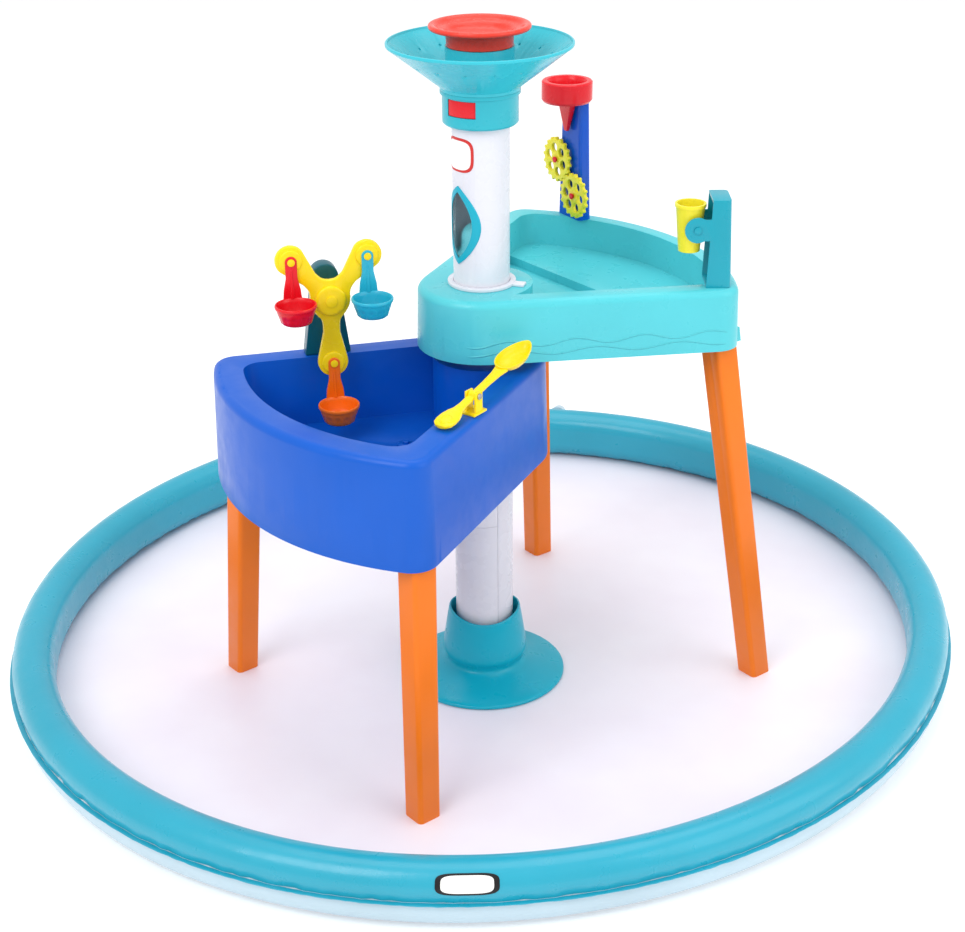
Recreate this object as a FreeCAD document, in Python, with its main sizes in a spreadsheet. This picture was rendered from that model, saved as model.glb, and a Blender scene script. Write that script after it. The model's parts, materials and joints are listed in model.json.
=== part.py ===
import FreeCAD, Part
import math
import os

import Sketcher

# Sand and water table: two fan-shaped trays stacked round a column that
# stands, with four legs, inside a round splash pad.
# Frame: origin on the ground at the middle of the pad, +Z up, millimetres.

SIZES = {
    # splash pad
    "pad_radius": 752.0, "pad_floor_thick": 2.0, "ring_width": 64.0, "ring_height": 93.0,
    "ring_wall": 1.5, "inlet_feed": 8.0,
    "ring_middle": 742.0, "skirt_thick": 1.4, "seam_height": 50.0, "seam_reach": 4.0,
    "seam_thick": 2.5, "pad_badge_width": 88.0, "badge_thick": 0.8, "pad_badge_turn": -90.6,
    "inlet_bore": 9.5, "inlet_wall": 3.5, "inlet_length": 26.0, "inlet_angle": 80.0,
    # where the column stands on the pad
    "column_x": -2.0, "column_y": -115.0,
    # base and column
    "base_radius": 130.0, "base_edge": 8.0, "base_waist": 60.0, "base_waist_height": 30.0,
    "cup_bulge": 66.0, "cup_bulge_height": 46.0, "cup_rim": 57.0, "cup_height": 124.0,
    "cup_dip": 10.0, "cup_wall": 3.0,
    "lower_radius": 46.0, "column_wall": 2.5, "column_foot": 24.0, "panel_joint": 285.0,
    "panel_gap": 0.4, "seam_turn": 28.0, "upper_radius": 42.0, "upper_top": 952.0,
    "sleeve_wall": 3.0, "sleeve_reach": 40.0, "sleeve_gap": 0.5, "fit_gap": 0.3,
    # window, badge and diverter in the upper tube
    "window_turn": -142.0, "window_middle": 772.0, "window_height": 118.0, "window_half": 33.0,
    "window_border": 9.0, "frame_proud": 1.6, "pane_thick": 1.2, "diverter_radius": 30.0,
    "diverter_top": 769.0, "column_badge_width": 56.0, "column_badge_low": 852.0,
    "column_badge_high": 902.0,
    # collar, release tab, funnel and bowl
    "collar_low": 917.0, "collar_high": 966.0, "collar_radius": 55.0, "collar_step": 58.0,
    "tab_turn": -122.0, "tab_width": 45.0, "tab_low": 935.0, "tab_high": 958.0,
    "tab_thick": 5.0, "tab_gap": 0.5, "spring_thick": 0.8, "spring_width": 26.0,
    "funnel_radius": 134.0, "funnel_top": 1033.0, "funnel_wall": 3.0, "lip_height": 6.0,
    "neck_radius": 49.5, "neck_top": 1027.0, "funnel_holes": 16.0, "funnel_hole": 2.0,
    "funnel_hole_ring": 104.0,
    "bowl_radius": 73.0, "bowl_top": 1058.0, "bowl_body": 48.0, "bowl_wall": 3.0,
    "bowl_plug_depth": 14.0,
    # trays
    "nose_radius": 96.0, "tray_wall": 3.0, "tray_edge": 12.0, "tray_corner": 34.0,
    "draft": 1.5, "basin_corner": 30.0, "basin_hub": 76.0,
    "low_top": 562.0, "low_bottom": 398.0, "low_radius": 406.0, "low_turn": 219.5,
    "low_half": 25.5, "low_rim": 44.0, "low_depth": 110.0,
    "high_top": 676.0, "high_bottom": 581.0, "high_radius": 382.0, "high_turn": 37.5,
    "high_half": 30.0, "high_rim": 32.0, "high_depth": 66.0, "shelf_step": 14.0,
    "shelf_reach": 205.0, "lock_ring_radius": 51.0, "lock_ring_height": 5.0,
    "drain_radius": 9.0, "drain_distance": 150.0, "plug_head": 13.0,
    # legs, each with its foot and its top in polar places about the column
    "leg_side": 42.0, "leg_foot_side": 39.0, "leg_wall": 3.0, "leg_corner": 7.0,
    "leg_reach": 48.0, "low_insert": 44.0, "high_insert": 20.0, "socket_wall": 3.0,
    "screw_out": 1.0, "screw_radius": 2.5, "screw_head": 5.0,
    "leg_left_foot": 403.0, "leg_left_foot_turn": 178.0, "leg_left_top": 368.0,
    "leg_left_top_turn": 184.5,
    "leg_front_foot": 411.0, "leg_front_foot_turn": 257.0, "leg_front_top": 369.0,
    "leg_front_top_turn": 255.4,
    "leg_right_foot": 443.0, "leg_right_foot_turn": -1.8, "leg_right_top": 350.0,
    "leg_right_top_turn": -1.0,
    "leg_back_foot": 425.0, "leg_back_foot_turn": 76.3, "leg_back_top": 350.0,
    "leg_back_top_turn": 76.0,
    # three-armed spinner on the lower tray
    "spin_along": 227.0, "spin_height": 664.0, "arm_up": 86.0, "arm_spread": 41.0,
    "arm_down": 98.0, "star_turn": 0.0, "lobe_radius": 22.0, "star_hub": 25.0, "star_thick": 11.0,
    "arm_width": 27.0, "star_offset": 22.0, "spin_axle": 5.0, "spin_fit": 0.06,
    "bracket_width": 70.0, "bracket_depth": 26.0, "bracket_top_width": 38.0,
    "bracket_arch": 21.0, "bracket_arch_height": 684.0, "bracket_offset": 70.0,
    "scoop_drop": 54.0, "scoop_radius": 31.0, "scoop_depth": 29.0, "scoop_wall": 2.2,
    "scoop_pin": 3.0, "strap_thick": 4.0, "strap_top": 9.0, "strap_low": 15.0,
    # launcher spoon on the lower tray
    "launch_x": -13.0, "launch_y": -226.0, "launch_turn": 54.0, "launch_height": 588.0,
    "launch_tilt": 14.0, "launch_pin": 2.5, "spoon_width": 12.0, "spoon_thick": 5.0,
    "spoon_arm": 70.0, "spoon_bowl_long": 74.0, "spoon_bowl_wide": 44.0,
    "spoon_bowl_deep": 18.0, "spoon_tail": 44.0, "tail_long": 38.0, "tail_wide": 32.0,
    # water tower with two meshed wheels on the upper tray
    "tower_distance": 361.0, "tower_turn": 64.6, "tower_face": 212.0, "tower_width": 62.0,
    "tower_depth": 24.0, "tower_top_width": 52.0, "tower_top_depth": 20.0,
    "tower_height": 194.0, "tower_wall": 2.5, "tower_corner": 6.0, "cup_radius": 41.0,
    "tower_cup_height": 34.0, "cup_forward": 18.0, "spout_drop": 50.0, "spout_across": 0.0,
    "wheel_teeth": 18.0, "wheel_pitch": 35.0,
    "tooth_depth": 2.2, "wheel_thick": 6.0, "wheel_axle": 3.0, "wheel_gap": 2.5,
    "wheel_rise": 68.0, "wheel_stagger": 50.0, "wheel_spokes": 6.0, "wheel_hole": 7.5,
    # tipping bucket on the upper tray
    "post_x": 349.0, "post_y": -10.0, "post_depth": 37.0, "post_taper": 10.0,
    "post_corner": 7.0, "post_height": 133.0, "post_cap": 4.0, "fork_rise": 88.0,
    "fork_reach": 34.0, "fork_half": 19.0, "fork_thick": 3.0, "bucket_side": 2.0,
    "bucket_top": 23.0, "bucket_low": 16.0, "bucket_height": 72.0, "bucket_wall": 2.2,
    "bucket_pin": 3.0, "bucket_above": 34.0, "bucket_forward": 9.0, "bucket_sleeve": 5.5, "bucket_lip": 5.0,
}

doc = FreeCAD.newDocument("SandWaterTable")
sheet = doc.addObject("Spreadsheet::Sheet", "dims")
for row, (alias, size) in enumerate(SIZES.items(), start=1):
    sheet.set(f"A{row}", alias)
    sheet.set(f"B{row}", str(size))
    sheet.setAlias(f"B{row}", alias)
doc.recompute()

UP = FreeCAD.Vector(0, 0, 1)
TALL = "400"    # height of a cutting block that passes right through
NODES = []


def size(name):
    return float(sheet.get(name))


def amount(text):
    """The number that an expression on the sheet gives."""
    result = sheet.evalExpression(str(text))
    return float(getattr(result, "Value", result))


def bind(thing, **sizes):
    for name, text in sizes.items():
        thing.setExpression(name, str(text))
    return thing


def at(x=0.0, y=0.0, z=0.0, turn=0.0, axis=UP):
    return FreeCAD.Placement(FreeCAD.Vector(x, y, z), FreeCAD.Rotation(axis, turn))


def node(thing, label, place=None):
    """Name a finished sub-part and put it in its place."""
    thing.Label = label
    if place is not None:
        thing.Placement = place
    NODES.append(thing)
    return thing


COLUMN = at(size("column_x"), size("column_y"))


def column_place(turn=0.0):
    return COLUMN.multiply(at(turn=turn))


# ---------------------------------------------------------------- shape helpers

def cylinder(name, radius, height, place=None, angle="360"):
    made = doc.addObject("Part::Cylinder", name)
    bind(made, Radius=radius, Height=height, Angle=angle)
    if place is not None:
        made.Placement = place
    return made


def block(name, length, width, height, place=None):
    """A box centred on its place in X and Y, standing on it in Z."""
    made = doc.addObject("Part::Box", name)
    bind(made, Length=length, Width=width, Height=height)
    centre = at(-amount(length) / 2, -amount(width) / 2)
    made.Placement = centre if place is None else place.multiply(centre)
    return made


def along(direction, start, turn=0.0):
    """A place whose own Z points along a direction."""
    rotation = FreeCAD.Rotation(UP, FreeCAD.Vector(*direction))
    return FreeCAD.Placement(FreeCAD.Vector(*start), rotation).multiply(at(turn=turn))


def fuse(name, parts):
    made = doc.addObject("Part::MultiFuse", name)
    made.Shapes = parts
    made.Refine = True
    return made


def common(name, parts):
    made = doc.addObject("Part::MultiCommon", name)
    made.Shapes = parts
    return made


def cut(name, base, tools):
    tool = tools[0] if len(tools) == 1 else fuse(name + "_tools", tools)
    made = doc.addObject("Part::Cut", name)
    made.Base = base
    made.Tool = tool
    return made


def fillet(name, base, radius, wanted):
    """Round the edges of base that the test wanted(edge) picks."""
    doc.recompute()
    made = doc.addObject("Part::Fillet", name)
    made.Base = base
    picked = [i for i, edge in enumerate(base.Shape.Edges, start=1) if wanted(edge)]
    made.Edges = [(i, radius, radius) for i in picked]
    return made


def level(edge, height):
    return all(abs(v.Z - height) < 0.01 for v in edge.Vertexes) and (
        abs(edge.CenterOfMass.z - height) < 0.01)


def constrain_points(sketch, points):
    """Tie the start of each edge of a closed outline to its two expressions."""
    for i, (first, second) in enumerate(points):
        for kind, text in (("DistanceX", first), ("DistanceY", second)):
            index = sketch.addConstraint(
                Sketcher.Constraint(kind, -1, 1, i, 1, amount(text)))
            sketch.setExpression(f"Constraints[{index}]", str(text))


def outline(sketch, points):
    """A closed outline of straight edges through points given as expressions."""
    spots = [FreeCAD.Vector(amount(a), amount(b), 0) for a, b in points]
    count = len(spots)
    for i in range(count):
        sketch.addGeometry(Part.LineSegment(spots[i], spots[(i + 1) % count]))
    for i in range(count):
        sketch.addConstraint(Sketcher.Constraint("Coincident", i, 2, (i + 1) % count, 1))
    constrain_points(sketch, points)


def body_sketch(body, role, name):
    plane = [f for f in body.Origin.OriginFeatures if f.Role == role][0]
    sketch = body.newObject("Sketcher::SketchObject", name)
    sketch.AttachmentSupport = [(plane, "")]
    sketch.MapMode = "FlatFace"
    return sketch


def turned(name, points, angle="360", middle=False):
    """A body turned about Z from an outline of (radius, height) expressions."""
    body = doc.addObject("PartDesign::Body", name)
    sketch = body_sketch(body, "XZ_Plane", name + "_outline")
    outline(sketch, points)
    turn = body.newObject("PartDesign::Revolution", name + "_turn")
    turn.Profile = sketch
    turn.ReferenceAxis = (sketch, ["V_Axis"])
    turn.setExpression("Angle", angle)
    turn.Midplane = middle
    doc.recompute()
    return body


def rectangle(name, width, depth, place):
    sketch = doc.addObject("Sketcher::SketchObject", name)
    half_w, half_d = f"({width}) / 2", f"({depth}) / 2"
    outline(sketch, [(f"-{half_w}", f"-{half_d}"), (half_w, f"-{half_d}"),
                     (half_w, half_d), (f"-{half_w}", half_d)])
    sketch.Placement = place
    return sketch


def loft(name, sections):
    made = doc.addObject("Part::Loft", name)
    made.Sections = sections
    made.Solid = True
    made.Ruled = True
    return made


def taper_box(name, low, high, height, start=0.0, shift=(0.0, 0.0)):
    """A four-sided block that goes from one rectangle to another."""
    first = rectangle(name + "_low", low[0], low[1], at(z=start))
    second = rectangle(name + "_high", high[0], high[1], at(shift[0], shift[1], start + height))
    return loft(name, [first, second])


def slant(edge):
    """True for an edge that runs from one level to another."""
    ends = edge.Vertexes
    return len(ends) == 2 and abs(ends[0].Z - ends[1].Z) > 1.0


# ---------------------------------------------------------------- splash pad

def splash_pad():
    floor = cylinder("pad_floor", "dims.pad_radius", "dims.pad_floor_thick")
    node(floor, "pad_floor_sheet", at())

    ring = doc.addObject("PartDesign::Body", "ring_body")
    sketch = body_sketch(ring, "XZ_Plane", "ring_section")
    stadium(sketch, "dims.ring_width / 2")
    stadium(sketch, "dims.ring_width / 2 - dims.ring_wall")
    turn = ring.newObject("PartDesign::Revolution", "ring_turn")
    turn.Profile = sketch
    turn.ReferenceAxis = (sketch, ["V_Axis"])
    turn.Angle = 360
    feed = cylinder("ring_feed", "dims.inlet_feed", 30, inlet_place(-20))
    node(cut("ring_cut", ring, [feed]), "pad_ring_tube", at())

    inside, outside = "dims.fit_gap", "dims.fit_gap + dims.skirt_thick"
    skirt = turned("skirt", wrapped(inside, outside, -68, 0, "dims.seam_height"))
    node(skirt, "pad_skirt_band", at())

    seam_low = "dims.seam_height - dims.seam_thick"
    near = f"dims.ring_middle + dims.ring_width / 2 + {outside} + dims.fit_gap"
    reach = f"{near} + dims.seam_reach"
    seam = turned("seam", [(near, seam_low), (reach, seam_low), (reach, "dims.seam_height"),
                           (near, "dims.seam_height")])
    node(seam, "pad_weld_flange", at())
    pad_badge()
    hose_inlet()


def stadium(sketch, radius):
    """A closed outline of the ring's wall: two half circles joined by upright lines."""
    low_text = "dims.pad_floor_thick + dims.ring_width / 2"
    high_text = "dims.pad_floor_thick + dims.ring_height - dims.ring_width / 2"
    half, middle = amount(radius), size("ring_middle")
    low = FreeCAD.Vector(middle, amount(low_text), 0)
    high = FreeCAD.Vector(middle, amount(high_text), 0)
    reach = FreeCAD.Vector(half, 0, 0)
    normal = FreeCAD.Vector(0, 0, 1)
    start = sketch.GeometryCount
    sketch.addGeometry(Part.ArcOfCircle(Part.Circle(high, normal, half), 0, math.pi))
    sketch.addGeometry(Part.LineSegment(high - reach, low - reach))
    sketch.addGeometry(Part.ArcOfCircle(Part.Circle(low, normal, half), math.pi, 2 * math.pi))
    sketch.addGeometry(Part.LineSegment(low + reach, high + reach))
    for first, second in ((0, 1), (1, 2), (2, 3), (3, 0)):
        sketch.addConstraint(Sketcher.Constraint("Tangent", start + first, 2, start + second, 1))
    sketch.addConstraint(Sketcher.Constraint("Vertical", start + 1))
    tied = [("Radius", (start, half), radius),
            ("DistanceX", (-1, 1, start, 3, middle), "dims.ring_middle"),
            ("DistanceY", (-1, 1, start, 3, high.y), high_text),
            ("DistanceY", (-1, 1, start + 2, 3, low.y), low_text)]
    for kind, places, text in tied:
        index = sketch.addConstraint(Sketcher.Constraint(kind, *places))
        sketch.setExpression(f"Constraints[{index}]", text)


def wrapped(inside, outside, first, last, straight_end):
    """Outline of a thin band that follows the ring's outer side, in short chords that
    clear it: an arc between two angles and a straight run to straight_end."""
    half = "dims.ring_width / 2"
    low = f"dims.pad_floor_thick + {half}"
    high = f"dims.pad_floor_thick + dims.ring_height - {half}"
    centre = low if first < 0 else high
    chords = 7
    step = math.radians(last - first) / chords
    bulge = 1 / math.cos(step / 2)
    angles = [math.radians(first) + i * step for i in range(chords + 1)]

    def side(gap):
        reach = f"({half} + {gap}) * {bulge}"
        arc = [(f"dims.ring_middle + {reach} * {math.cos(a)}",
                f"{centre} + {reach} * {math.sin(a)}") for a in angles]
        run = (f"dims.ring_middle + {reach}", straight_end)
        return arc + [run] if first < 0 else [run] + arc

    return side(outside) + side(inside)[::-1]


def pad_badge():
    """A blank patch that follows the outside of the ring, at the front."""
    arc = f"{amount('dims.pad_badge_width / dims.pad_radius') * 180 / math.pi}"
    points = wrapped("dims.fit_gap", "dims.fit_gap + dims.badge_thick", 0, 62,
                     "dims.seam_height + 5")
    badge = turned("patch", points, angle=arc, middle=True)
    node(badge, "pad_badge_plate", at(turn=size("pad_badge_turn")))


def hose_inlet():
    """A short straight spigot with an open bore that feeds the ring."""
    outer = "dims.inlet_bore + dims.inlet_wall"
    flange = "dims.inlet_bore + dims.inlet_wall + 6"
    spigot = turned("spigot", [("dims.inlet_bore", "0"), (flange, "0"), (flange, "3"),
                               (outer, "3"), (outer, "dims.inlet_length"),
                               ("dims.inlet_bore", "dims.inlet_length")])
    node(spigot, "pad_hose_inlet", inlet_place(0))


def inlet_place(out):
    """Where the spigot meets the ring, pointing away from the middle of the pad."""
    turn = math.radians(size("inlet_angle"))
    reach = amount("dims.ring_middle + dims.ring_width / 2 + dims.fit_gap") + out
    height = amount("dims.seam_height + dims.inlet_bore + dims.inlet_wall + 7")
    start = (reach * math.cos(turn), reach * math.sin(turn), height)
    return along((math.cos(turn), math.sin(turn), 0), start)


# ---------------------------------------------------------------- base and column

def base_stand():
    floor = "dims.pad_floor_thick"
    inner = "dims.lower_radius + dims.fit_gap"
    cup = turned("base_turned", [
        (inner, floor), ("dims.base_radius - 3", floor), ("dims.base_radius", f"{floor} + 3"),
        ("dims.base_radius - 2", f"{floor} + dims.base_edge"),
        ("dims.base_waist + 8", "dims.base_waist_height - 6"),
        ("dims.base_waist", "dims.base_waist_height"),
        ("dims.cup_bulge", "dims.cup_bulge_height"),
        ("dims.cup_rim", "dims.cup_height"),
        ("dims.cup_rim - dims.cup_wall", "dims.cup_height"),
        ("dims.cup_rim - dims.cup_wall", "dims.column_foot + 54"),
        (inner, "dims.column_foot + 48")])
    dip, rim, top = size("cup_dip"), size("cup_rim"), size("cup_height")
    saddle = (rim * rim + dip * dip) / (2 * dip)
    reach = 2 * size("base_radius") + 20
    crest = top - saddle + 0.4
    arch = cylinder("base_arch", saddle, reach, along((1, 0, 0), (-reach / 2, 0, crest)))
    shape = common("base_common", [cup, arch])
    node(shape, "base_stand", column_place())


def half_tube(name, radius, low, high, turn, label):
    """Half of a split tube, a little less than half a turn so that the seam shows."""
    inner = f"{radius} - dims.column_wall"
    gap = amount("dims.panel_gap / dims.lower_radius") * 180 / math.pi
    shell = turned(name, [(inner, low), (radius, low), (radius, high), (inner, high)],
                   angle=f"180 - {gap}", middle=True)
    node(shell, label, column_place(turn))


def column():
    radius = "dims.lower_radius"
    top = "dims.high_bottom - dims.fit_gap"
    foot = "dims.column_foot"
    seam = -90 + size("seam_turn")
    half_tube("shell_back", radius, foot, top, seam + 90, "column_lower_back_shell")
    half_tube("shell_front", radius, foot, "dims.panel_joint", seam - 90,
              "column_lower_front_shell")
    half_tube("shell_mid", radius, "dims.panel_joint + dims.panel_gap", top, seam - 90,
              "column_middle_front_shell")

    wall = "(dims.column_wall + dims.sleeve_gap)"
    low_out, up_out = f"dims.lower_radius - {wall}", f"dims.upper_radius - {wall}"
    inner = f"{up_out} - dims.sleeve_wall"
    join = "dims.high_bottom"
    sleeve = turned("sleeve", [
        (inner, f"{join} - dims.sleeve_reach"), (low_out, f"{join} - dims.sleeve_reach"),
        (low_out, join), (up_out, join), (up_out, f"{join} + dims.sleeve_reach"),
        (inner, f"{join} + dims.sleeve_reach")])
    node(sleeve, "column_coupling_sleeve", column_place())
    upper_tube()


def leaf(name, half, height, depth):
    """A pointed oval that stands in XZ and runs out along -Y."""
    rise = amount(height) / 2
    reach = amount(half)
    round_radius = (reach * reach + rise * rise) / (2 * reach)
    sides = []
    for side in (-1, 1):
        start = (side * (round_radius - reach), 0, size("window_middle"))
        sides.append(cylinder(f"{name}_{side + 1}", round_radius, depth,
                              along((0, -1, 0), start)))
    return common(name, sides)


def tube(name, outer, inner, low, high):
    return turned(name, [(inner, low), (outer, low), (outer, high), (inner, high)])


def upper_tube():
    outer = "dims.upper_radius"
    inner = "dims.upper_radius - dims.column_wall"
    place = column_place(size("window_turn") + 90)
    opening_half = "dims.window_half - dims.window_border + 3"
    opening_high = "dims.window_height - 2 * dims.window_border + 6"
    shell = tube("tube_shell", outer, inner, "dims.high_bottom + dims.fit_gap", "dims.upper_top")
    window = leaf("window_cut", opening_half, opening_high, "dims.upper_radius + 10")
    node(cut("tube_cut", shell, [window]), "column_upper_tube", place)

    ring_outer = "dims.upper_radius + dims.frame_proud"
    ring = tube("frame_ring", ring_outer, "dims.upper_radius", "dims.window_middle - 70",
                "dims.window_middle + 70")
    full = leaf("frame_full", "dims.window_half", "dims.window_height", "dims.upper_radius + 10")
    clear_half = "dims.window_half - dims.window_border"
    clear_high = "dims.window_height - 2 * dims.window_border"
    clear = leaf("frame_clear", clear_half, clear_high, "dims.upper_radius + 10")
    border = cut("frame_cut", common("frame_common", [ring, full]), [clear])
    node(border, "window_frame", place)

    pane_ring = tube("pane_ring", "dims.upper_radius", "dims.upper_radius - dims.pane_thick",
                     "dims.window_middle - 70", "dims.window_middle + 70")
    pane_leaf = leaf("pane_leaf", f"{opening_half} - 0.2", f"{opening_high} - 1",
                     "dims.upper_radius + 10")
    node(common("pane_common", [pane_ring, pane_leaf]), "window_pane", place)

    patch = tube("badge_ring", "dims.upper_radius + dims.badge_thick", "dims.upper_radius",
                 "dims.column_badge_low", "dims.column_badge_high")
    front = block("badge_box", "dims.column_badge_width", "dims.upper_radius + 5", TALL,
                  at(0, -amount("dims.upper_radius + 5") / 2, size("column_badge_low") - 100))
    node(common("badge_common", [patch, front]), "column_badge_plate", place)

    reach = "dims.upper_radius - dims.column_wall - dims.fit_gap"
    top = "dims.diverter_top"
    dome = turned("diverter", [("0", f"{top} - 48"), (reach, f"{top} - 48"),
                               (reach, f"{top} - 44"), ("dims.diverter_radius", f"{top} - 38"),
                               ("dims.diverter_radius - 2", f"{top} - 14"),
                               ("dims.diverter_radius - 12", f"{top} - 3"), ("0", top)])
    node(dome, "water_diverter", column_place())


# ---------------------------------------------------------------- top of the column

def collar_and_tab():
    inner = "dims.upper_radius + dims.fit_gap"
    hollow = "dims.collar_radius - 4"
    shell = turned("collar_turned", [
        (inner, "dims.collar_low"), ("dims.collar_radius - 3", "dims.collar_low"),
        ("dims.collar_radius", "dims.collar_low + 3"),
        ("dims.collar_radius", "dims.collar_high - 6"),
        ("dims.collar_step", "dims.collar_high - 5"), ("dims.collar_step", "dims.collar_high"),
        (hollow, "dims.collar_high"), (hollow, "dims.collar_low + 4"),
        (inner, "dims.collar_low + 4")])
    place = column_place(size("tab_turn") + 90)
    opening = block("tab_opening", "dims.tab_width + 2 * dims.tab_gap", "40",
                    "dims.tab_high - dims.tab_low + 2 * dims.tab_gap",
                    at(0, -size("collar_radius"), amount("dims.tab_low - dims.tab_gap")))
    node(cut("collar_cut", shell, [opening]), "collar_housing", place)

    ring = tube("tab_ring", "dims.collar_radius - 1", "dims.collar_radius - 1 - dims.tab_thick",
                "dims.tab_low", "dims.tab_high")
    face = block("tab_box", "dims.tab_width", "40", TALL,
                 at(0, -size("collar_radius"), size("tab_low") - 100))
    node(common("tab_common", [ring, face]), "release_tab", place)

    inner_face = "dims.upper_radius + dims.fit_gap + dims.spring_thick"
    strip = tube("spring_ring", inner_face, "dims.upper_radius + dims.fit_gap",
                 "dims.tab_low + 4", "dims.tab_high - 4")
    window = block("spring_box", "dims.spring_width", "40", TALL,
                   at(0, -size("collar_radius"), size("tab_low") - 100))
    node(common("spring_common", [strip, window]), "release_leaf_spring", place)


def funnel_and_bowl():
    neck_in = "dims.neck_radius - dims.funnel_wall"
    low = "dims.collar_high + dims.fit_gap"
    wall = "dims.funnel_wall"
    cone = turned("funnel_turned", [
        (neck_in, low), ("dims.collar_step", low), ("dims.collar_step", f"{low} + 4"),
        ("dims.funnel_radius - 3", "dims.funnel_top - dims.lip_height"),
        ("dims.funnel_radius", "dims.funnel_top - dims.lip_height + 2"),
        ("dims.funnel_radius", "dims.funnel_top - 1"),
        ("dims.funnel_radius - 1", "dims.funnel_top"),
        (f"dims.funnel_radius - {wall}", "dims.funnel_top"),
        (f"dims.funnel_radius - {wall} - 1", f"dims.funnel_top - dims.lip_height + {wall}"),
        ("dims.collar_step", f"{low} + 4 + 1.3 * {wall}"),
        ("dims.neck_radius", f"{low} + 2 + {wall}"), ("dims.neck_radius", "dims.neck_top"),
        (neck_in, "dims.neck_top")])
    drills = []
    count = int(size("funnel_holes"))
    for i in range(count):
        turn = 2 * math.pi * (i + 0.5) / count
        ring = size("funnel_hole_ring")
        drills.append(cylinder(f"funnel_drill_{i}", "dims.funnel_hole", "60",
                               at(ring * math.cos(turn), ring * math.sin(turn),
                                  size("collar_high"))))
    node(cut("funnel_cut", cone, drills), "funnel", column_place())

    plug = "dims.neck_radius - dims.funnel_wall - dims.fit_gap"
    wall = "dims.bowl_wall"
    seat = "dims.neck_top + 0.1"
    bowl = turned("bowl_turned", [
        ("0", seat), (f"{plug} - {wall}", seat),
        (f"{plug} - {wall}", "dims.neck_top - dims.bowl_plug_depth"),
        (plug, "dims.neck_top - dims.bowl_plug_depth"), (plug, seat),
        ("dims.bowl_body", seat), ("dims.bowl_body", "dims.bowl_top - 13"),
        ("dims.bowl_radius - 3", "dims.bowl_top - 9"), ("dims.bowl_radius", "dims.bowl_top - 7"),
        ("dims.bowl_radius", "dims.bowl_top - 2"), ("dims.bowl_radius - 2", "dims.bowl_top"),
        ("dims.bowl_radius - 7", "dims.bowl_top"),
        ("dims.bowl_radius - 14", "dims.bowl_top - 6"),
        ("dims.bowl_body - 10", "dims.bowl_top - 17"), ("0", f"{seat} + {wall}")])
    node(bowl, "top_bowl", column_place())


# ---------------------------------------------------------------- trays

def fan(name, nose, outer, half, corner, hub=None):
    """Fan outline about the column: two walls that touch the nose circle, an outer
    arc and rounded corners. With a hub radius, the near end is an arc round the hub."""
    nose_r, outer_r, corner_r = amount(nose), amount(outer), amount(corner)
    spread = math.radians(amount(half))
    reach = math.sqrt((outer_r - corner_r) ** 2 - (nose_r - corner_r) ** 2)
    near = 0.0 if hub is None else math.sqrt(amount(hub) ** 2 - nose_r ** 2)
    sketch = doc.addObject("Sketcher::SketchObject", name)
    normal = FreeCAD.Vector(0, 0, 1)

    def spot(distance, offset, side):
        along_x = distance * math.cos(spread) - offset * math.sin(spread)
        return FreeCAD.Vector(along_x, side * (distance * math.sin(spread)
                                               + offset * math.cos(spread)), 0)

    centre = spot(reach, nose_r - corner_r, 1)
    tip = math.atan2(centre.y, centre.x)
    wall_turn = spread + math.pi / 2
    near_spot = spot(near, nose_r, 1)
    near_turn = math.atan2(near_spot.y, near_spot.x)

    def arc(middle, radius, first, last):
        circle = Part.Circle(middle, normal, radius)
        return sketch.addGeometry(Part.ArcOfCircle(circle, first, last))

    origin = FreeCAD.Vector(0, 0, 0)
    low_centre = FreeCAD.Vector(centre.x, -centre.y, 0)
    outer_arc = arc(origin, outer_r, -tip, tip)
    top_corner = arc(centre, corner_r, tip, wall_turn)
    top_wall = sketch.addGeometry(Part.LineSegment(spot(reach, nose_r, 1), near_spot))
    if hub is None:
        end_arc = arc(origin, nose_r, wall_turn, 2 * math.pi - wall_turn)
    else:
        end_arc = arc(origin, amount(hub), -near_turn, near_turn)
    low_wall = sketch.addGeometry(Part.LineSegment(spot(near, nose_r, -1),
                                                   spot(reach, nose_r, -1)))
    low_corner = arc(low_centre, corner_r, -wall_turn, -tip)

    def add(kind, *places):
        return sketch.addConstraint(Sketcher.Constraint(kind, *places))

    add("Coincident", outer_arc, 3, -1, 1)
    add("Coincident", end_arc, 3, -1, 1)
    add("Tangent", outer_arc, 2, top_corner, 1)
    add("Tangent", top_corner, 2, top_wall, 1)
    add("Tangent", low_wall, 2, low_corner, 1)
    add("Tangent", low_corner, 2, outer_arc, 1)
    if hub is None:
        add("Tangent", top_wall, 2, end_arc, 1)
        add("Tangent", end_arc, 2, low_wall, 1)
    else:
        add("Coincident", top_wall, 2, end_arc, 2)
        add("Coincident", end_arc, 1, low_wall, 1)
        for wall, text in ((top_wall, nose), (low_wall, nose)):
            index = sketch.addConstraint(Sketcher.Constraint("Distance", -1, 1, wall, nose_r))
            sketch.setExpression(f"Constraints[{index}]", str(text))
    end_text = nose if hub is None else hub
    for edge, value, text in ((outer_arc, outer_r, outer), (end_arc, amount(end_text), end_text),
                              (top_corner, corner_r, corner), (low_corner, corner_r, corner)):
        index = sketch.addConstraint(Sketcher.Constraint("Radius", edge, value))
        sketch.setExpression(f"Constraints[{index}]", str(text))
    for wall, sign in ((top_wall, 1), (low_wall, -1)):
        heading = spread if sign < 0 else math.pi + spread
        angle = -spread if sign < 0 else heading
        index = sketch.addConstraint(Sketcher.Constraint("Angle", wall, angle))
        text = f"-({half})" if sign < 0 else f"180 + ({half})"
        sketch.setExpression(f"Constraints[{index}]", text)
    return sketch


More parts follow.
